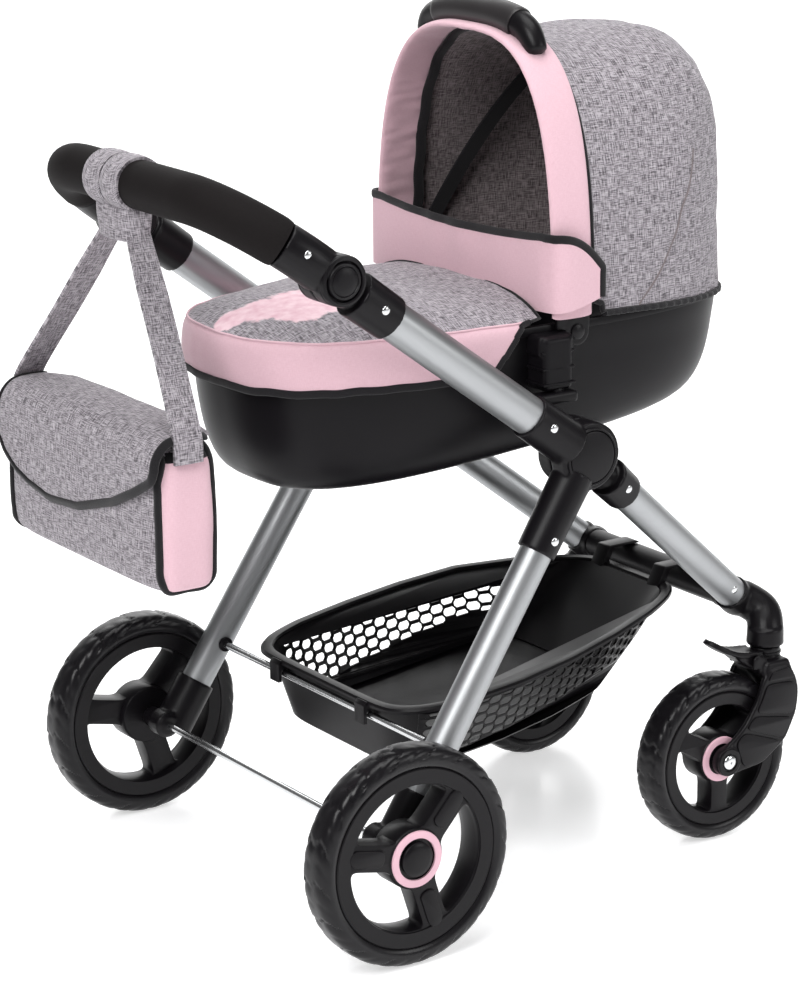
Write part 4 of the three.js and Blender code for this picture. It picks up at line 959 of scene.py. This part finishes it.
for side, out in SIDES:
    column = fuse("column", [
        block("body", (172, out * 109, 397.6), (199, out * 133.6, 439), 3.5),
        block("shoulder", (169.5, out * 109, 424), (202, out * 131, 440), 3),
        bar("ear", spot(212, out * 106.4, 438), spot(212, out * 116.5, 438), 12.4, 56),
        block("web", (196, out * 107, 426), (214, out * 115.5, 441), 2),
    ], 1.1, 3)
    ledges = [block("ledge", (170.6, out * 109, z), (200.6, out * (134.6 - k), z + 1.8), 0.5)
              for k, z in enumerate((402, 414, 426.5))]
    parts += [column, *ledges]
    parts.append(turned("hinge_pin", [
        (0, out * 114), (5, out * 114), (5, out * 117.6), (4.2, out * 118.2), (0, out * 118.4)],
        spot(212, 0, 438), steps=36))
    # Below it the frame's own fitting ends in a flat shelf with the post on top.
    shelf = fuse(f"cot_fitting_{side}_moulding", [
        block("shelf", (147, out * 122.6, 388), (201.4, out * 137.4, 396.4), 2),
        bar("post", spot(187, out * 127, 392), spot(187, out * 127, 416.5), 5.8, 32),
        block("gusset", (150, out * 124, 380), (172, out * 140, 392), 3)], 1.1, 2)
    dress(shelf, BLACK_PLASTIC, "black_plastic", "chassis", f"cot_fitting_{side}")
cot = join(*parts)
cot.name = "carrycot_tub"
TUB_PLASTIC = moulded("satin_plastic", (0.0055, 0.0047, 0.006), 0.38, size=1300.0, depth=0.00008,
                      spread=0.06, shine=0.14)
dress(cot, TUB_PLASTIC, "black_plastic", "cot", "cot_tub", angle=34)


# ---------------------------------------------------------------- apron
# A fitted cover closes the foot end: a softly padded grey top sewn to a pink side band, which is hemmed
# and bound with black tape where it stops short of the bracket. A fluffy cloud is printed on the top.
def half_row(swell, z, stop_x, count):
    """The cover's line at one height, from the left side round the foot end to the right side."""
    ring = [p for p in oval(-swell, -swell, z, 900, math.pi / 2, math.pi, sink=False)
            if p.x <= AXLE_X + stop_x / 1000]
    return row_of(ring, count)


def cover_stop(z):
    """Where the cover's side ends at a height: it slants down towards the foot end."""
    return float(np.interp(z, [400, 413, 449, 451.5], [124, 133, 165, 184]))


TOP_LINE = [(-113.5, 469.5), (-100, 469.5), (-70, 468.4), (-45, 466), (-25, 462), (-12, 457.4), (-3, 453),
            (1.6, 450)]
BAND_LINE = [(1.8, 449.8), (4.0, 446.4), (5.6, 441), (6.6, 433), (6.8, 426), (6.2, 419), (5.4, 414.5)]
top_rows, columns = [], 180
for swell, z in flowing([(a, b, 0) for a, b in TOP_LINE], 46)[:, :2]:
    row = half_row(swell, z, 184, columns)
    fade = min(1.0, max(0.0, (z - 453) / 9))
    for place in row:
        soft = ripple(place, 0.055, 1) * 0.0022 + ripple(place, 0.02, 2) * 0.0007
        place[2] += soft * (0.35 + 0.65 * fade) - 0.0008
    top_rows.append(row)
band_rows = []
for k, (swell, z) in enumerate(flowing([(a, b, 0) for a, b in BAND_LINE], 26)[:, :2]):
    row = half_row(swell, z, cover_stop(z), columns)
    middle = np.array(spot(COT_X, 0, z))
    share = k / 25
    for place in row:
        way = place - middle
        way[2] = 0
        way /= np.linalg.norm(way)
        soft = ripple(place, 0.03, 3) * 0.0016 * math.sin(math.pi * share)
        soft += ripple(place * (1, 1, 0.25), 0.011, 4) * 0.0006
        place += way * soft
        low_edge, top_edge = ripple(place * (1, 1, 0), 0.02, 15), ripple(place * (1, 1, 0), 0.03, 16)
        place[2] += low_edge * 0.0013 * share ** 2 + top_edge * 0.0009 * (1 - share)
    band_rows.append(row)
top_rows[-1] = band_rows[0]
apron_top = skin("apron_top", top_rows, spot(120, 0, 400))
modify(apron_top, "SOLIDIFY", thickness=0.0018, offset=-1)
edit(apron_top, face_out)
apron_band = skin("apron_band", band_rows, spot(120, 0, 430))
modify(apron_band, "SOLIDIFY", thickness=0.0016, offset=-1)
edit(apron_band, face_out)


def tape(name, line, centre, wide, thick):
    """A folded strip of binding along an edge, its flat sides facing out from a centre line."""
    line = np.array(line, float)
    ways = np.gradient(line, axis=0)
    grid = []
    for place, way in zip(line, ways):
        out_way = place - np.array(centre(place), float)
        way = way / (np.linalg.norm(way) + 1e-12)
        out_way -= way * out_way.dot(way)
        out_way /= np.linalg.norm(out_way) + 1e-12
        flat_way = np.cross(way, out_way)
        grid.append([place + (flat_way * wide * math.copysign(abs(math.cos(t)) ** 0.7, math.cos(t))
                              + out_way * thick * math.sin(t)) / 1000
                     for t in np.linspace(0, 2 * math.pi, 15)])
    made = skin(name, grid, close_across=True)
    edit(made, face_out)
    return made


def cot_core(place):
    return spot(COT_X - 30, 0, 0) + Vector((0, 0, place[2]))


hem = join(tape("apron_hem", np.array(band_rows[-1]) - (0, 0, 0.0012), cot_core, 3.2, 1.6),
           tape("edge", [row[0] for row in band_rows], cot_core, 2.4, 1.6),
           tape("edge", [row[-1] for row in band_rows], cot_core, 2.4, 1.6),
           tube("edge", [Vector(row[0]) for row in top_rows[::-1]] + [Vector(row[-1]) for row in top_rows],
                1.3))
hem.name = "apron_binding"
seam = tube("apron_seam", [Vector(p) + Vector((0, 0, 0.0004)) for p in band_rows[0]], 0.9)

puff, puff_in, puff_out = new_group("cloud_print", [("Vector", VECTOR, None)], [("Mask", FLOAT)])
fuzz = wire(puff, "ShaderNodeTexNoise", {"Vector": puff_in.outputs["Vector"], "Scale": 260.0, "Detail": 4.0})
height = None
for x, y, radius in ((0, 0, 0.024), (0.024, 0.005, 0.018), (-0.024, 0.004, 0.017), (0.012, -0.014, 0.019),
                     (-0.013, -0.013, 0.017), (0.041, 0.011, 0.011), (-0.041, 0.011, 0.011)):
    near = wire(puff, "ShaderNodeVectorMath", {0: puff_in.outputs["Vector"], 1: (x, y, 0)},
                operation="DISTANCE")
    dome = wire(puff, "ShaderNodeMath", {0: near.outputs["Value"], 1: -1 / radius, 2: 1.0},
                operation="MULTIPLY_ADD")
    height = dome if height is None else wire(
        puff, "ShaderNodeMath", {0: height.outputs[0], 1: dome.outputs[0]}, operation="MAXIMUM")
rag = wire(puff, "ShaderNodeMath", {0: fuzz.outputs["Fac"], 1: 0.5, 2: -0.25}, operation="MULTIPLY_ADD")
puffed = wire(puff, "ShaderNodeMath", {0: height.outputs[0], 1: rag.outputs[0]}, operation="ADD")
cut = wire(puff, "ShaderNodeMapRange", {"Value": puffed.outputs[0], "From Min": 0.0, "From Max": 0.14})
puff.links.new(cut.outputs[0], puff_out.inputs["Mask"])

PRINTED_CLOTH = GREY_CLOTH.copy()
PRINTED_CLOTH.name = "grey_fabric_printed"
tree = PRINTED_CLOTH.node_tree
shader = tree.nodes["Principled BSDF"]
ground = shader.inputs["Base Color"].links[0].from_socket
coords = wire(tree, "ShaderNodeTexCoord")
level = wire(tree, "ShaderNodeMapping", {"Vector": coords.outputs["Object"], "Scale": (0.72, 0.72, 0),
                                         "Location": spot(34, -18, 0) * -0.72})
cloud = wire(tree, "ShaderNodeGroup", {}, node_tree=puff)
tree.links.new(level.outputs[0], cloud.inputs["Vector"])
wool = wire(tree, "ShaderNodeTexNoise", {"Vector": coords.outputs["Object"], "Scale": 120.0, "Detail": 5.0})
tint = wire(tree, "ShaderNodeMix", {"Factor": wool.outputs["Fac"], 6: (0.6, 0.27, 0.36, 1),
                                    7: (0.98, 0.82, 0.85, 1)}, data_type="RGBA")
print_mix = wire(tree, "ShaderNodeMix", {"Factor": cloud.outputs["Mask"]}, data_type="RGBA")
tree.links.new(ground, print_mix.inputs[6])
tree.links.new(tint.outputs[2], print_mix.inputs[7])
tree.links.new(print_mix.outputs[2], shader.inputs["Base Color"])

lay_threads(apron_top)
dress(apron_top, PRINTED_CLOTH, "grey_fabric", "cot", "apron", angle=80)
dress(apron_band, PINK_CLOTH, "pink_fabric", "cot", "apron", angle=80)
dress(hem, BLACK_TAPE, None, "cot", angle=80)
dress(seam, PINK_CLOTH, "pink_fabric", "cot", angle=80)


# ---------------------------------------------------------------- wind flap
# A pink flap stands up across the cover's end under the hood, its ends lapped round the outside of the
# front bow. Its top edge is bound in black and sags a little between the bow's legs.
FLAP_PLAN = [(233, 123.8), (221, 125.4), (209, 127), (197, 127.4), (188.4, 123.4), (186, 112), (184.6, 88),
             (183.8, 60), (183.2, 30)]
plan = smooth_line([*[(x, y, 0) for x, y in FLAP_PLAN], (183, 0, 0),
                    *[(x, -y, 0) for x, y in FLAP_PLAN[::-1]]], 150)
flap_rows = []
for share in np.linspace(0, 1, 26):
    row = []
    for x, y, _ in plan:
        end = max(0.0, (abs(y) - 112) / 14)
        tall = 512 - 26 * (max(0.0, x - 190) / 43) ** 2 - 5 * (1 - min(1.0, abs(y) / 110) ** 2)
        low = 455 + 8 * (max(0.0, x - 190) / 43) ** 1.5
        z = low + (tall - low) * share
        wave = ripple((x / 1000, y / 1000, z / 2500), 0.022, 5) * 1.4 * (0.3 + 0.7 * share) * (1 - 0.5 * end)
        belly = -1.6 * math.sin(math.pi * share) * (1 - end)
        row.append(spot(x + (wave + belly) * (1 - end), y + math.copysign(0.5 * abs(wave) * end, y), z))
    flap_rows.append(row)
wind = skin("wind_flap", flap_rows, spot(240, 0, 480))
modify(wind, "SOLIDIFY", thickness=0.0016, offset=0)
edit(wind, face_out)
dress(wind, PINK_CLOTH, "pink_fabric", "cot", "draught_flap", angle=80)
rim = [row[0] for row in flap_rows[::5]] + [flap_rows[-1][k] for k in range(3, 149, 3)]
rim += [row[-1] for row in flap_rows[::-5]]
flap_tape = tape("wind_flap_binding", smooth_line(rim, 300), lambda place: spot(240, 0, place[2] * 1000),
                 3.4, 1.8)
dress(flap_tape, BLACK_TAPE, None, "cot", angle=80)


# ---------------------------------------------------------------- hood bows and carrying handle
# The hood is a cloth canopy on two flat bows. The front bow wears a pink sleeve with soft creases, and
# has a padded carrying handle over its top. The middle bow is a black band that shows on the lining.
def arch(half_width, height, square, count, start=0.0):
    """Pairs of sideways place and height over the cot, from the left foot to the right."""
    turns = np.linspace(start, math.pi - start, 4000)
    line = [(half_width * math.copysign(abs(math.cos(t)) ** (2 / square), math.cos(t)),
             height * abs(math.sin(t)) ** (2 / square), 0) for t in turns]
    return row_of(line, count)[:, :2]


HINGE = (212, 438)
sleeve_rows = []
for y, h in arch(121, 224, 3, 260):
    if HINGE[1] + h < 448:
        continue
    around = []
    inward = np.array([-y * (abs(y) / 121) ** 0.8, 112 - h])
    inward = inward / (np.linalg.norm(inward) + 1e-9)
    far = 0.5 + 0.5 * math.tanh(y / 60)
    for t in np.linspace(0, 2 * math.pi, 41):
        c, s = math.cos(t), math.sin(t)
        across = 18.6 * math.copysign(abs(c) ** 0.55, c)
        thick = 3.6 * math.copysign(abs(s) ** 0.9, s)
        place = np.array((208 + across, y, HINGE[1] + h))
        crease = ripple((across / 2600, y / 1000, h / 1000), 0.006, 6) * (0.45 + 0.9 * far)
        puff_out_by = 0.7 * crease + 0.8 * (1 - (across / 19) ** 2) * (1 if s < 0 else 0.4)
        shift = (2.4 - thick - puff_out_by * (1 if s < 0 else -0.6)) if s < 0 else (2.4 - thick)
        place[1] += inward[0] * shift
        place[2] += inward[1] * shift
        around.append(spot(*place))
    sleeve_rows.append(around)
sleeve = skin("front_bow_sleeve", sleeve_rows, close_across=True)
edit(sleeve, face_out)
modify(sleeve, "SMOOTH", factor=0.3, iterations=1)
dress(sleeve, PINK_CLOTH, "pink_fabric", "hood", "hood_front_bow", angle=80)

edge_line = [spot(225.6, y, HINGE[1] + h) for y, h in arch(114.6, 217, 3, 150) if HINGE[1] + h > 449]
edge_line = [p + Vector((0, 0.0009 * math.sin(k * 0.7), 0)) for k, p in enumerate(edge_line)]
inner_edge = tape("front_bow_lining_edge", edge_line, lambda place: spot(208, 0, 520), 4.6, 2.2)
dress(inner_edge, BLACK_TAPE, None, "hood", angle=80)

for side, out in SIDES:
    foot = fuse(f"bow_foot_{side}", [
        bar("disc", spot(212, out * 117.4, 438), spot(212, out * 121.2, 438), 11.4, 56),
        block("shank", (193, out * 117.4, 440), (224, out * 121, 452), 1.2)], 0.9, 2)
    dress(foot, BLACK_PLASTIC, "black_plastic", "hood")
    stud = turned(f"bow_pin_{side}", [
        (0, out * 120), (6, out * 120), (6, out * 122.2), (5, out * 122.9), (0, out * 123.2)],
        spot(212, 0, 438), steps=40)
    edit(stud, face_out)
    dress(stud, BLACK_PLASTIC, "black_plastic", "hood")

grip_arch = [(y, h) for y, h in arch(129, 232, 3, 200) if abs(y) < 66]
foot_arch = [(y, h) for y, h in arch(123, 226, 3, 200) if abs(y) < 77]
grip_points = [foot_arch[0], *grip_arch[::6], foot_arch[-1]]
grip_line = smooth_line([spot(208, y, HINGE[1] + h) for y, h in grip_points], 90)
core_radii = [3.5 + 8.4 * max(0.0, math.sin(math.pi * k / 89)) ** 0.22 for k in range(90)]
core_tube = tube("carrying_handle_core", [Vector(p) for p in grip_line], core_radii, sides=10)
dress(core_tube, BLACK_PLASTIC, "black_plastic", "hood", "carry_handle", angle=60)
pad_line = [Vector(p) for p in grip_line[17:73]]
pad = tube("carrying_handle_pad", pad_line, [11.8 if k in (0, 55) else 12.6 for k in range(56)], sides=10)

middle_rows = []
for y, h in arch(116.7, 236, 2.2, 150, 0.06):
    lean = math.radians(60)
    row = []
    for s, inset in ((-7, 0), (-6.4, -0.8), (6.4, -0.8), (7, 0), (6.4, 1.2), (-6.4, 1.2), (-7, 0)):
        w, u = y * (1 - inset / 117), h * (1 - inset / 236)
        row.append(spot(HINGE[0] + u * math.cos(lean) - s * math.sin(lean), w,
                        HINGE[1] + u * math.sin(lean) + s * math.cos(lean)))
    middle_rows.append(row)
middle_band = skin("middle_bow_band", middle_rows, close_across=True)
edit(middle_band, face_out)
dress(middle_band, BLACK_TAPE, None, "hood_middle", "hood_middle_bow", angle=50)


# ---------------------------------------------------------------- canopy
# The canopy is grey cloth lined with a darker one, pulled over the bows from the sleeve to a gathered
# black hem round the tub. It dips behind the front bow, bulges over the middle one, and has one
# slanting seam on each side.
CANOPY = [(90, 215.5, 3), (84.5, 214, 2.95), (79, 216, 2.9), (70, 228, 2.8), (61, 244, 2.7), (53, 250, 2.7),
          (45, 242, 2.65), (36, 220, 2.65), (22, 191, 2.65), (8, 181.5, 2.7), (-2.5, 180.6, 2.7)]
canopy_rows = []
for angle, height, square in flowing(CANOPY, 76):
    lean = math.radians(angle)
    share = (90 - angle) / 92.5
    row = []
    for y, h in arch(120.5, height, square, 170, math.radians(1.2)):
        run = math.degrees(math.atan2(h, abs(y)))
        place = np.array((227 + h * math.cos(lean), y, HINGE[1] + h * math.sin(lean)))
        way = np.array((h * math.cos(lean) / height, y / 120, h * math.sin(lean) / height))
        way /= np.linalg.norm(way)
        tall = h / height
        loose = math.sin(math.pi * min(1.0, max(0.0, share))) ** 0.7
        crease = ripple((place[0] / 1000 + 0.35 * place[2] / 1000, y / 1000, place[2] / 2600), 0.04, 8) * 3.2
        fold = ripple((place[0] / 2600, y / 1000 * 0.6, (place[2] - 0.8 * place[0]) / 1000), 0.02, 9) * 1.3
        gather = math.sin(run * 1.9 + 5 * ripple((y / 1000, h / 1000, 0), 0.06, 10))
        gather *= 0.9 * max(0.0, (share - 0.86) / 0.14)
        place += way * ((crease + fold) * loose * (0.35 + 0.65 * tall) + gather)
        place[2] += 12 * min(1.0, max(0.0, (472 - place[2]) / 36))
        row.append(spot(*place))
    canopy_rows.append(row)
canopy = skin("canopy_cloth", canopy_rows, spot(280, 0, 500))
canopy.data.materials.append(GREY_CLOTH)
canopy.data.materials.append(LINING)
modify(canopy, "SOLIDIFY", thickness=0.0018, offset=-1, material_offset=1)
edit(canopy, face_out)
lay_threads(canopy)
dress(canopy, None, "grey_fabric", "hood", "canopy", angle=80)
edge_lines = [tube("canopy_hem", canopy_rows[-1], 2.6), tube("front", canopy_rows[0], 1.5),
              tube("side", [row[0] for row in canopy_rows], 2.2),
              tube("side", [row[-1] for row in canopy_rows], 2.2)]
canopy_tape = join(*edge_lines)
dress(canopy_tape, BLACK_TAPE, None, "hood", angle=80)
SEAM = [(336, 0, 566), (331, 0, 545), (318, 0, 512), (300, 0, 481), (284, 0, 462), (271, 0, 448)]
seams = []
for side, out in SIDES:
    line = []
    near = [place for row in canopy_rows for place in row if place.y * out > 0.06]
    for x, _, z in smooth_line(SEAM, 26):
        line.append(min(near, key=lambda place: (place - spot(x, place.y * 1000, z)).length))
    seams.append(tube("canopy_seam", [Vector(p) for p in smooth_line(line[::3] + [line[-1]], 60)], 0.8))
seam = join(*seams)
dress(seam, LINING, "grey_fabric", "hood", angle=80)
for piece in (canopy, canopy_tape, seam):
    piece.parent = None
    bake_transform(piece)


# ---------------------------------------------------------------- handle
# The handle is one bent tube in a matte foam sleeve. Its ends sit in two knuckles that tilt on the
# lower tubes, and a round button in each knuckle's outer face frees them.
FOAM = moulded("foam", (0.0085, 0.0068, 0.007), 0.8, size=700.0, depth=0.0005, spread=0.1, shine=0.15)
SOFT_GRIP = moulded("soft_grip", (0.021, 0.0185, 0.0195), 0.42, size=700.0, depth=0.0001, spread=0.1,
                    shine=0.4)
dress(pad, SOFT_GRIP, "foam", "hood", angle=60)
reach = Vector((KNOB[0] - HUB[0], 0, KNOB[1] - HUB[1])).normalized()


def handle_place(turn, out):
    """A place on the handle's bend, by its turn in degrees from the knuckle."""
    t = math.radians(turn)
    run = (92 - 73 * (1 - math.sin(t))) / 1000
    return spot(KNOB[0], out * (148.4 - 73 * (1 - math.cos(t))), KNOB[1]) + reach * run


arc = [handle_place(t, -1) for t in np.linspace(22.8, 90, 24)]
cross_line = [*arc,
              *[handle_place(90, -1).lerp(handle_place(90, 1), t) for t in np.linspace(0, 1, 22)[1:-1]],
              *[handle_place(t, 1) for t in np.linspace(90, 22.8, 24)]]
cross_line = [Vector(p) for p in smooth_line(cross_line[::2] + [cross_line[-1]], 150)]
widths = [18.4 - 0.9 * max(0.0, 1 - min(k, 149 - k) / 3.0) ** 2 for k in range(150)]
sleeve = tube("handle_foam", cross_line, widths, sides=12)
dress(sleeve, FOAM, "foam", "handle", "handle_grip", angle=60)

for side, out in SIDES:
    hub, knob, foot, elbow = joints[side]
    bend_line = [knob + reach * 0.012, knob + reach * 0.018,
                 *[handle_place(t, out) for t in (3, 8, 13, 18, 22.5)]]
    upper = fuse(f"knuckle_upper_{side}_moulding", [
        bar("disc", spot(KNOB[0], out * 149, KNOB[1]), spot(KNOB[0], out * 162.5, KNOB[1]), 19.1, 64),
        tube("sleeve", [Vector(p) for p in smooth_line(bend_line, 40)], 17.3, sides=10),
    ], 1.1, 5)
    dress(upper, BLACK_PLASTIC, "black_plastic", "handle", f"knuckle_upper_{side}")
    rim = turned(f"knuckle_rim_{side}", [
        (14.6, out * 160), (18.6, out * 160), (18.9, out * 164.4), (18.2, out * 165.8), (16.4, out * 166.3),
        (15.2, out * 165.7), (14.6, out * 164.2)], spot(KNOB[0], 0, KNOB[1]), steps=72)
    edit(rim, face_out)
    dress(rim, BLACK_PLASTIC, "black_plastic", "handle")
    button = turned(f"tilt_button_{side}_disc", [
        (0, out * 161), (13.9, out * 161), (13.9, out * 165.4), (13, out * 166.6), (11.4, out * 167),
        (10.8, out * 166.3), (10, out * 166.9), (5, out * 167.5), (0, out * 167.7)],
        spot(KNOB[0], 0, KNOB[1]), steps=72)
    edit(button, face_out)
    dress(button, BLACK_PLASTIC, "black_plastic", f"tilt_button_{side}", f"tilt_button_{side}")
    head_place = handle_place(13, out) + Vector((0, out * 0.0165, 0.001))
    rivet(f"rivet_handle_end_{side}", head_place, out, "handle")
    inner = turned(f"knuckle_inner_{side}", [
        (0, out * 133.4), (18.8, out * 133.4), (18.8, out * 131.6), (17.8, out * 130.4), (12, out * 130),
        (11.4, out * 131), (0, out * 131)], spot(KNOB[0], 0, KNOB[1]), steps=64)
    edit(inner, face_out)
    dress(inner, BLACK_PLASTIC, "black_plastic", "chassis")


# ---------------------------------------------------------------- bag
# A soft bag hangs from the grip: grey front, back and flap, pink gussets, black bindings. Each strap
# end is sewn to a gusset, and the folded strap is looped round the foam and pulled through itself.
BAG_X, BAG_Y = -121, 18


def bag_row(inset, z, narrow=0.0, count=240):
    """The bag's plan at one height, from the middle of its back round to itself again."""
    half_deep, half_wide = 27 - inset, 120 - inset - narrow
    ring = []
    for t in np.linspace(0, 2 * math.pi, 3000):
        c, s = math.cos(t), math.sin(t)
        ring.append((BAG_X + half_deep * math.copysign(abs(c) ** (2 / 5.5), c),
                     BAG_Y + half_wide * math.copysign(abs(s) ** (2 / 5.5), s), z))
    return row_of(ring, count)


BAG_LINE = [(26.9, 285, 0), (14, 284.4, 0), (6, 285.2, 0), (2.2, 288, 0), (0.6, 294, 0), (0, 304, 0),
            (-0.6, 330, 0), (-0.6, 350, 0), (0, 366, 0), (1, 382, 1.5), (4.5, 392, 4.5), (12, 400, 9),
            (14.5, 400, 10), (26.9, 399, 10)]
bag_rows = []
for inset, z, narrow in flowing(BAG_LINE, 64):
    row = bag_row(inset, z, narrow)
    for place in row:
        x, y, _ = place
        flat = 1 - min(1.0, abs(y - BAG_Y) / 112) ** 4
        full = math.sin(math.pi * min(1.0, max(0.0, (z - 284) / 116)))
        here = (x / 1000, y / 1000, z / 1000)
        place[0] += math.copysign(1, x - BAG_X) * full * (1.8 * flat + 1.3 * ripple(here, 0.045, 11))
        place[1] += math.copysign(1, y - BAG_Y) * (1 - flat) * full * 1.5 * ripple(here, 0.03, 12)
    bag_rows.append([spot(*place) for place in row])
body = skin("bag_cloth", bag_rows, close_across=True)
edit(body, weld, face_out)
body.data.materials.append(GREY_CLOTH)
body.data.materials.append(PINK_CLOTH)
body.data.materials.append(BLACK_TAPE)
for face in body.data.polygons:
    centre = face.center
    if abs(centre.y * 1000 - BAG_Y) > 112 and 0.286 < centre.z:
        face.material_index = 1 if centre.z < 0.383 else 2
lay_threads(body)
dress(body, None, "grey_fabric", "bag", "bag_body", angle=80)

edges = []
for out in (-1, 1):
    sides = []
    for deep in (-1, 1):
        line = []
        for row in bag_rows[12:58:3]:
            corner = BAG_Y + out * (112 - max(0, row[0].z * 1000 - 382) * 0.5)
            half = [p for p in row if (p.x - AXLE_X) * 1000 * deep > BAG_X * deep]
            line.append(Vector(min(half, key=lambda p: abs(p.y * 1000 - corner))))
        sides.append(line)
    across = [spot(BAG_X + x, BAG_Y + out * 111, 285.5) for x in (-14, 0, 14)]
    edge_line = smooth_line(sides[0][::-1] + across + sides[1], 150)
    edges.append(tube("edge", [Vector(p) for p in edge_line], 3.2))
piping = join(*edges)
piping.name = "bag_piping"
dress(piping, BLACK_TAPE, None, "bag", angle=80)

# The flap comes over the top from the back and hangs down the front in a rounded tongue.
FLAP_RUN = [(23, 401.5), (8, 403.6), (-12, 403.2), (-22, 398.5), (-28.6, 388), (-30.6, 372), (-31.4, 350),
            (-31, 332), (-30, 316)]
over = smooth_line([(BAG_X + x, 0, z) for x, z in FLAP_RUN], 90)
FLAP_EDGE = [(-103, 384), (-97, 372), (-75, 359), (-44, 345), (10, 329.5), (57, 325), (88, 330), (106, 337),
             (124, 348), (137, 362)]
runs = np.concatenate([[0], np.cumsum(np.linalg.norm(np.diff(over, axis=0), axis=1))])
flap_columns = []
for share in np.linspace(-1, 1, 100):
    y = BAG_Y + 119 * math.copysign(1 - (1 - abs(share)) ** 1.15, share)
    foot_z = np.interp(y, [v for v, _ in FLAP_EDGE], [v for _, v in FLAP_EDGE])
    front = over[20:]
    reach_down = np.interp(-foot_z, -front[:, 2], runs[20:])
    column = []
    for run in np.linspace(0, reach_down, 54):
        x, z = np.interp(run, runs, over[:, 0]), np.interp(run, runs, over[:, 2])
        wave = ripple((x / 1000, y / 1000, z / 1000), 0.04, 13) * 1.7 + math.sin(share * 9 + 1) * 0.5
        down = run / reach_down
        droop = 4.0 * abs(share) ** 6
        tuck = 1 - 0.09 * max(0.0, 1 - down / 0.16)
        column.append(spot(x - 0.6 * wave * down, BAG_Y + (y - BAG_Y) * tuck,
                           z - droop * (1 - 0.5 * down) + 0.6 * wave * (1 - down)))
    flap_columns.append(column)
flap_rows = [[column[k] for column in flap_columns] for k in range(54)]
flap = skin("bag_flap_cloth", flap_rows, spot(BAG_X, BAG_Y, 340))
modify(flap, "SOLIDIFY", thickness=0.0022, offset=0)
edit(flap, face_out)
dress(flap, GREY_CLOTH, "grey_fabric", "bag_flap", "bag_flap", angle=80)
rim_line = [row[0] for row in flap_rows[7:]] + flap_rows[-1][1:-1] + [row[-1] for row in flap_rows[:6:-1]]
flap_tape = tape("bag_flap_binding", smooth_line(rim_line[::3] + [rim_line[-1]], 260),
                 lambda place: spot(BAG_X + 15, place[1] * 1000 * 0.6, 350), 3.6, 1.9)
dress(flap_tape, BLACK_TAPE, None, "bag_flap", angle=80)

# The strap is a flat folded band of grey cloth. Its two sides meet under the grip in the knot.
GRIP = (handle_place(90, 1) + handle_place(90, -1)) / 2
grip_x, grip_z = (GRIP.x - AXLE_X) * 1000, GRIP.z * 1000
straps = []
for out in (-1, 1):
    foot_y = BAG_Y + out * 121.4
    line = smooth_line([
        (BAG_X - 2, foot_y, 382), (BAG_X - 2, foot_y - out * 0.3, 394), (BAG_X - 1.5, foot_y - out * 5, 408),
        (BAG_X * 0.55 + grip_x * 0.45, foot_y - out * 48, 462),
        (BAG_X * 0.24 + grip_x * 0.76, BAG_Y + out * 43, 500),
        (grip_x, BAG_Y + out * 20, 529), (grip_x, BAG_Y + out * 13, 540)], 60)
    rows = []
    for k, (x, y, z) in enumerate(line):
        share = k / 59
        wide = 11.8 - 2.2 * max(0.0, (share - 0.7) / 0.3)
        row = []
        for s in np.linspace(-1, 1, 11):
            crown = out * 0.7 * (1 - s * s) + 0.4 * ripple((x / 1000, z / 1000, s), 0.05, 14)
            row.append(spot(x + wide * s, y + crown, z))
        rows.append(row)
    band = skin("strap", rows, spot(grip_x, BAG_Y, 440))
    modify(band, "SOLIDIFY", thickness=0.0026, offset=0)
    straps.append(band)
for shift in (-13, 13):
    rows = []
    for t in np.linspace(0, 2 * math.pi, 61):
        row = []
        for s in np.linspace(-1, 1, 13):
            round_by = 20.4 + 0.9 * (1 - s * s)
            row.append(spot(grip_x + round_by * math.sin(t), BAG_Y + shift + 12.2 * s,
                            grip_z + round_by * math.cos(t)))
        rows.append(row)
    loop_band = skin("loop", rows, spot(grip_x, BAG_Y + shift, grip_z))
    modify(loop_band, "SOLIDIFY", thickness=0.0022, offset=-1)
    straps.append(loop_band)
KNOT = ((17, 25.5, 12), (18.5, 26.6, 13), (26, 26, 13.2), (36, 23.6, 12.8), (41, 22.4, 12.4),
        (42.5, 21, 11.4))
bridge = []
for drop, wide, deep in KNOT:
    bridge.append([spot(grip_x + deep * math.copysign(abs(math.cos(t)) ** 0.5, math.cos(t)),
                        BAG_Y + wide * math.copysign(abs(math.sin(t)) ** 0.5, math.sin(t)), grip_z - drop)
                   for t in np.linspace(0, 2 * math.pi, 49)])
knot = skin("knot", bridge, spot(grip_x, BAG_Y, grip_z - 25), close_across=True)
strap = join(*straps, knot)
strap.name = "bag_strap_cloth"
edit(strap, face_out)
dress(strap, GREY_CLOTH, "grey_fabric", "bag", "bag_strap", angle=60)
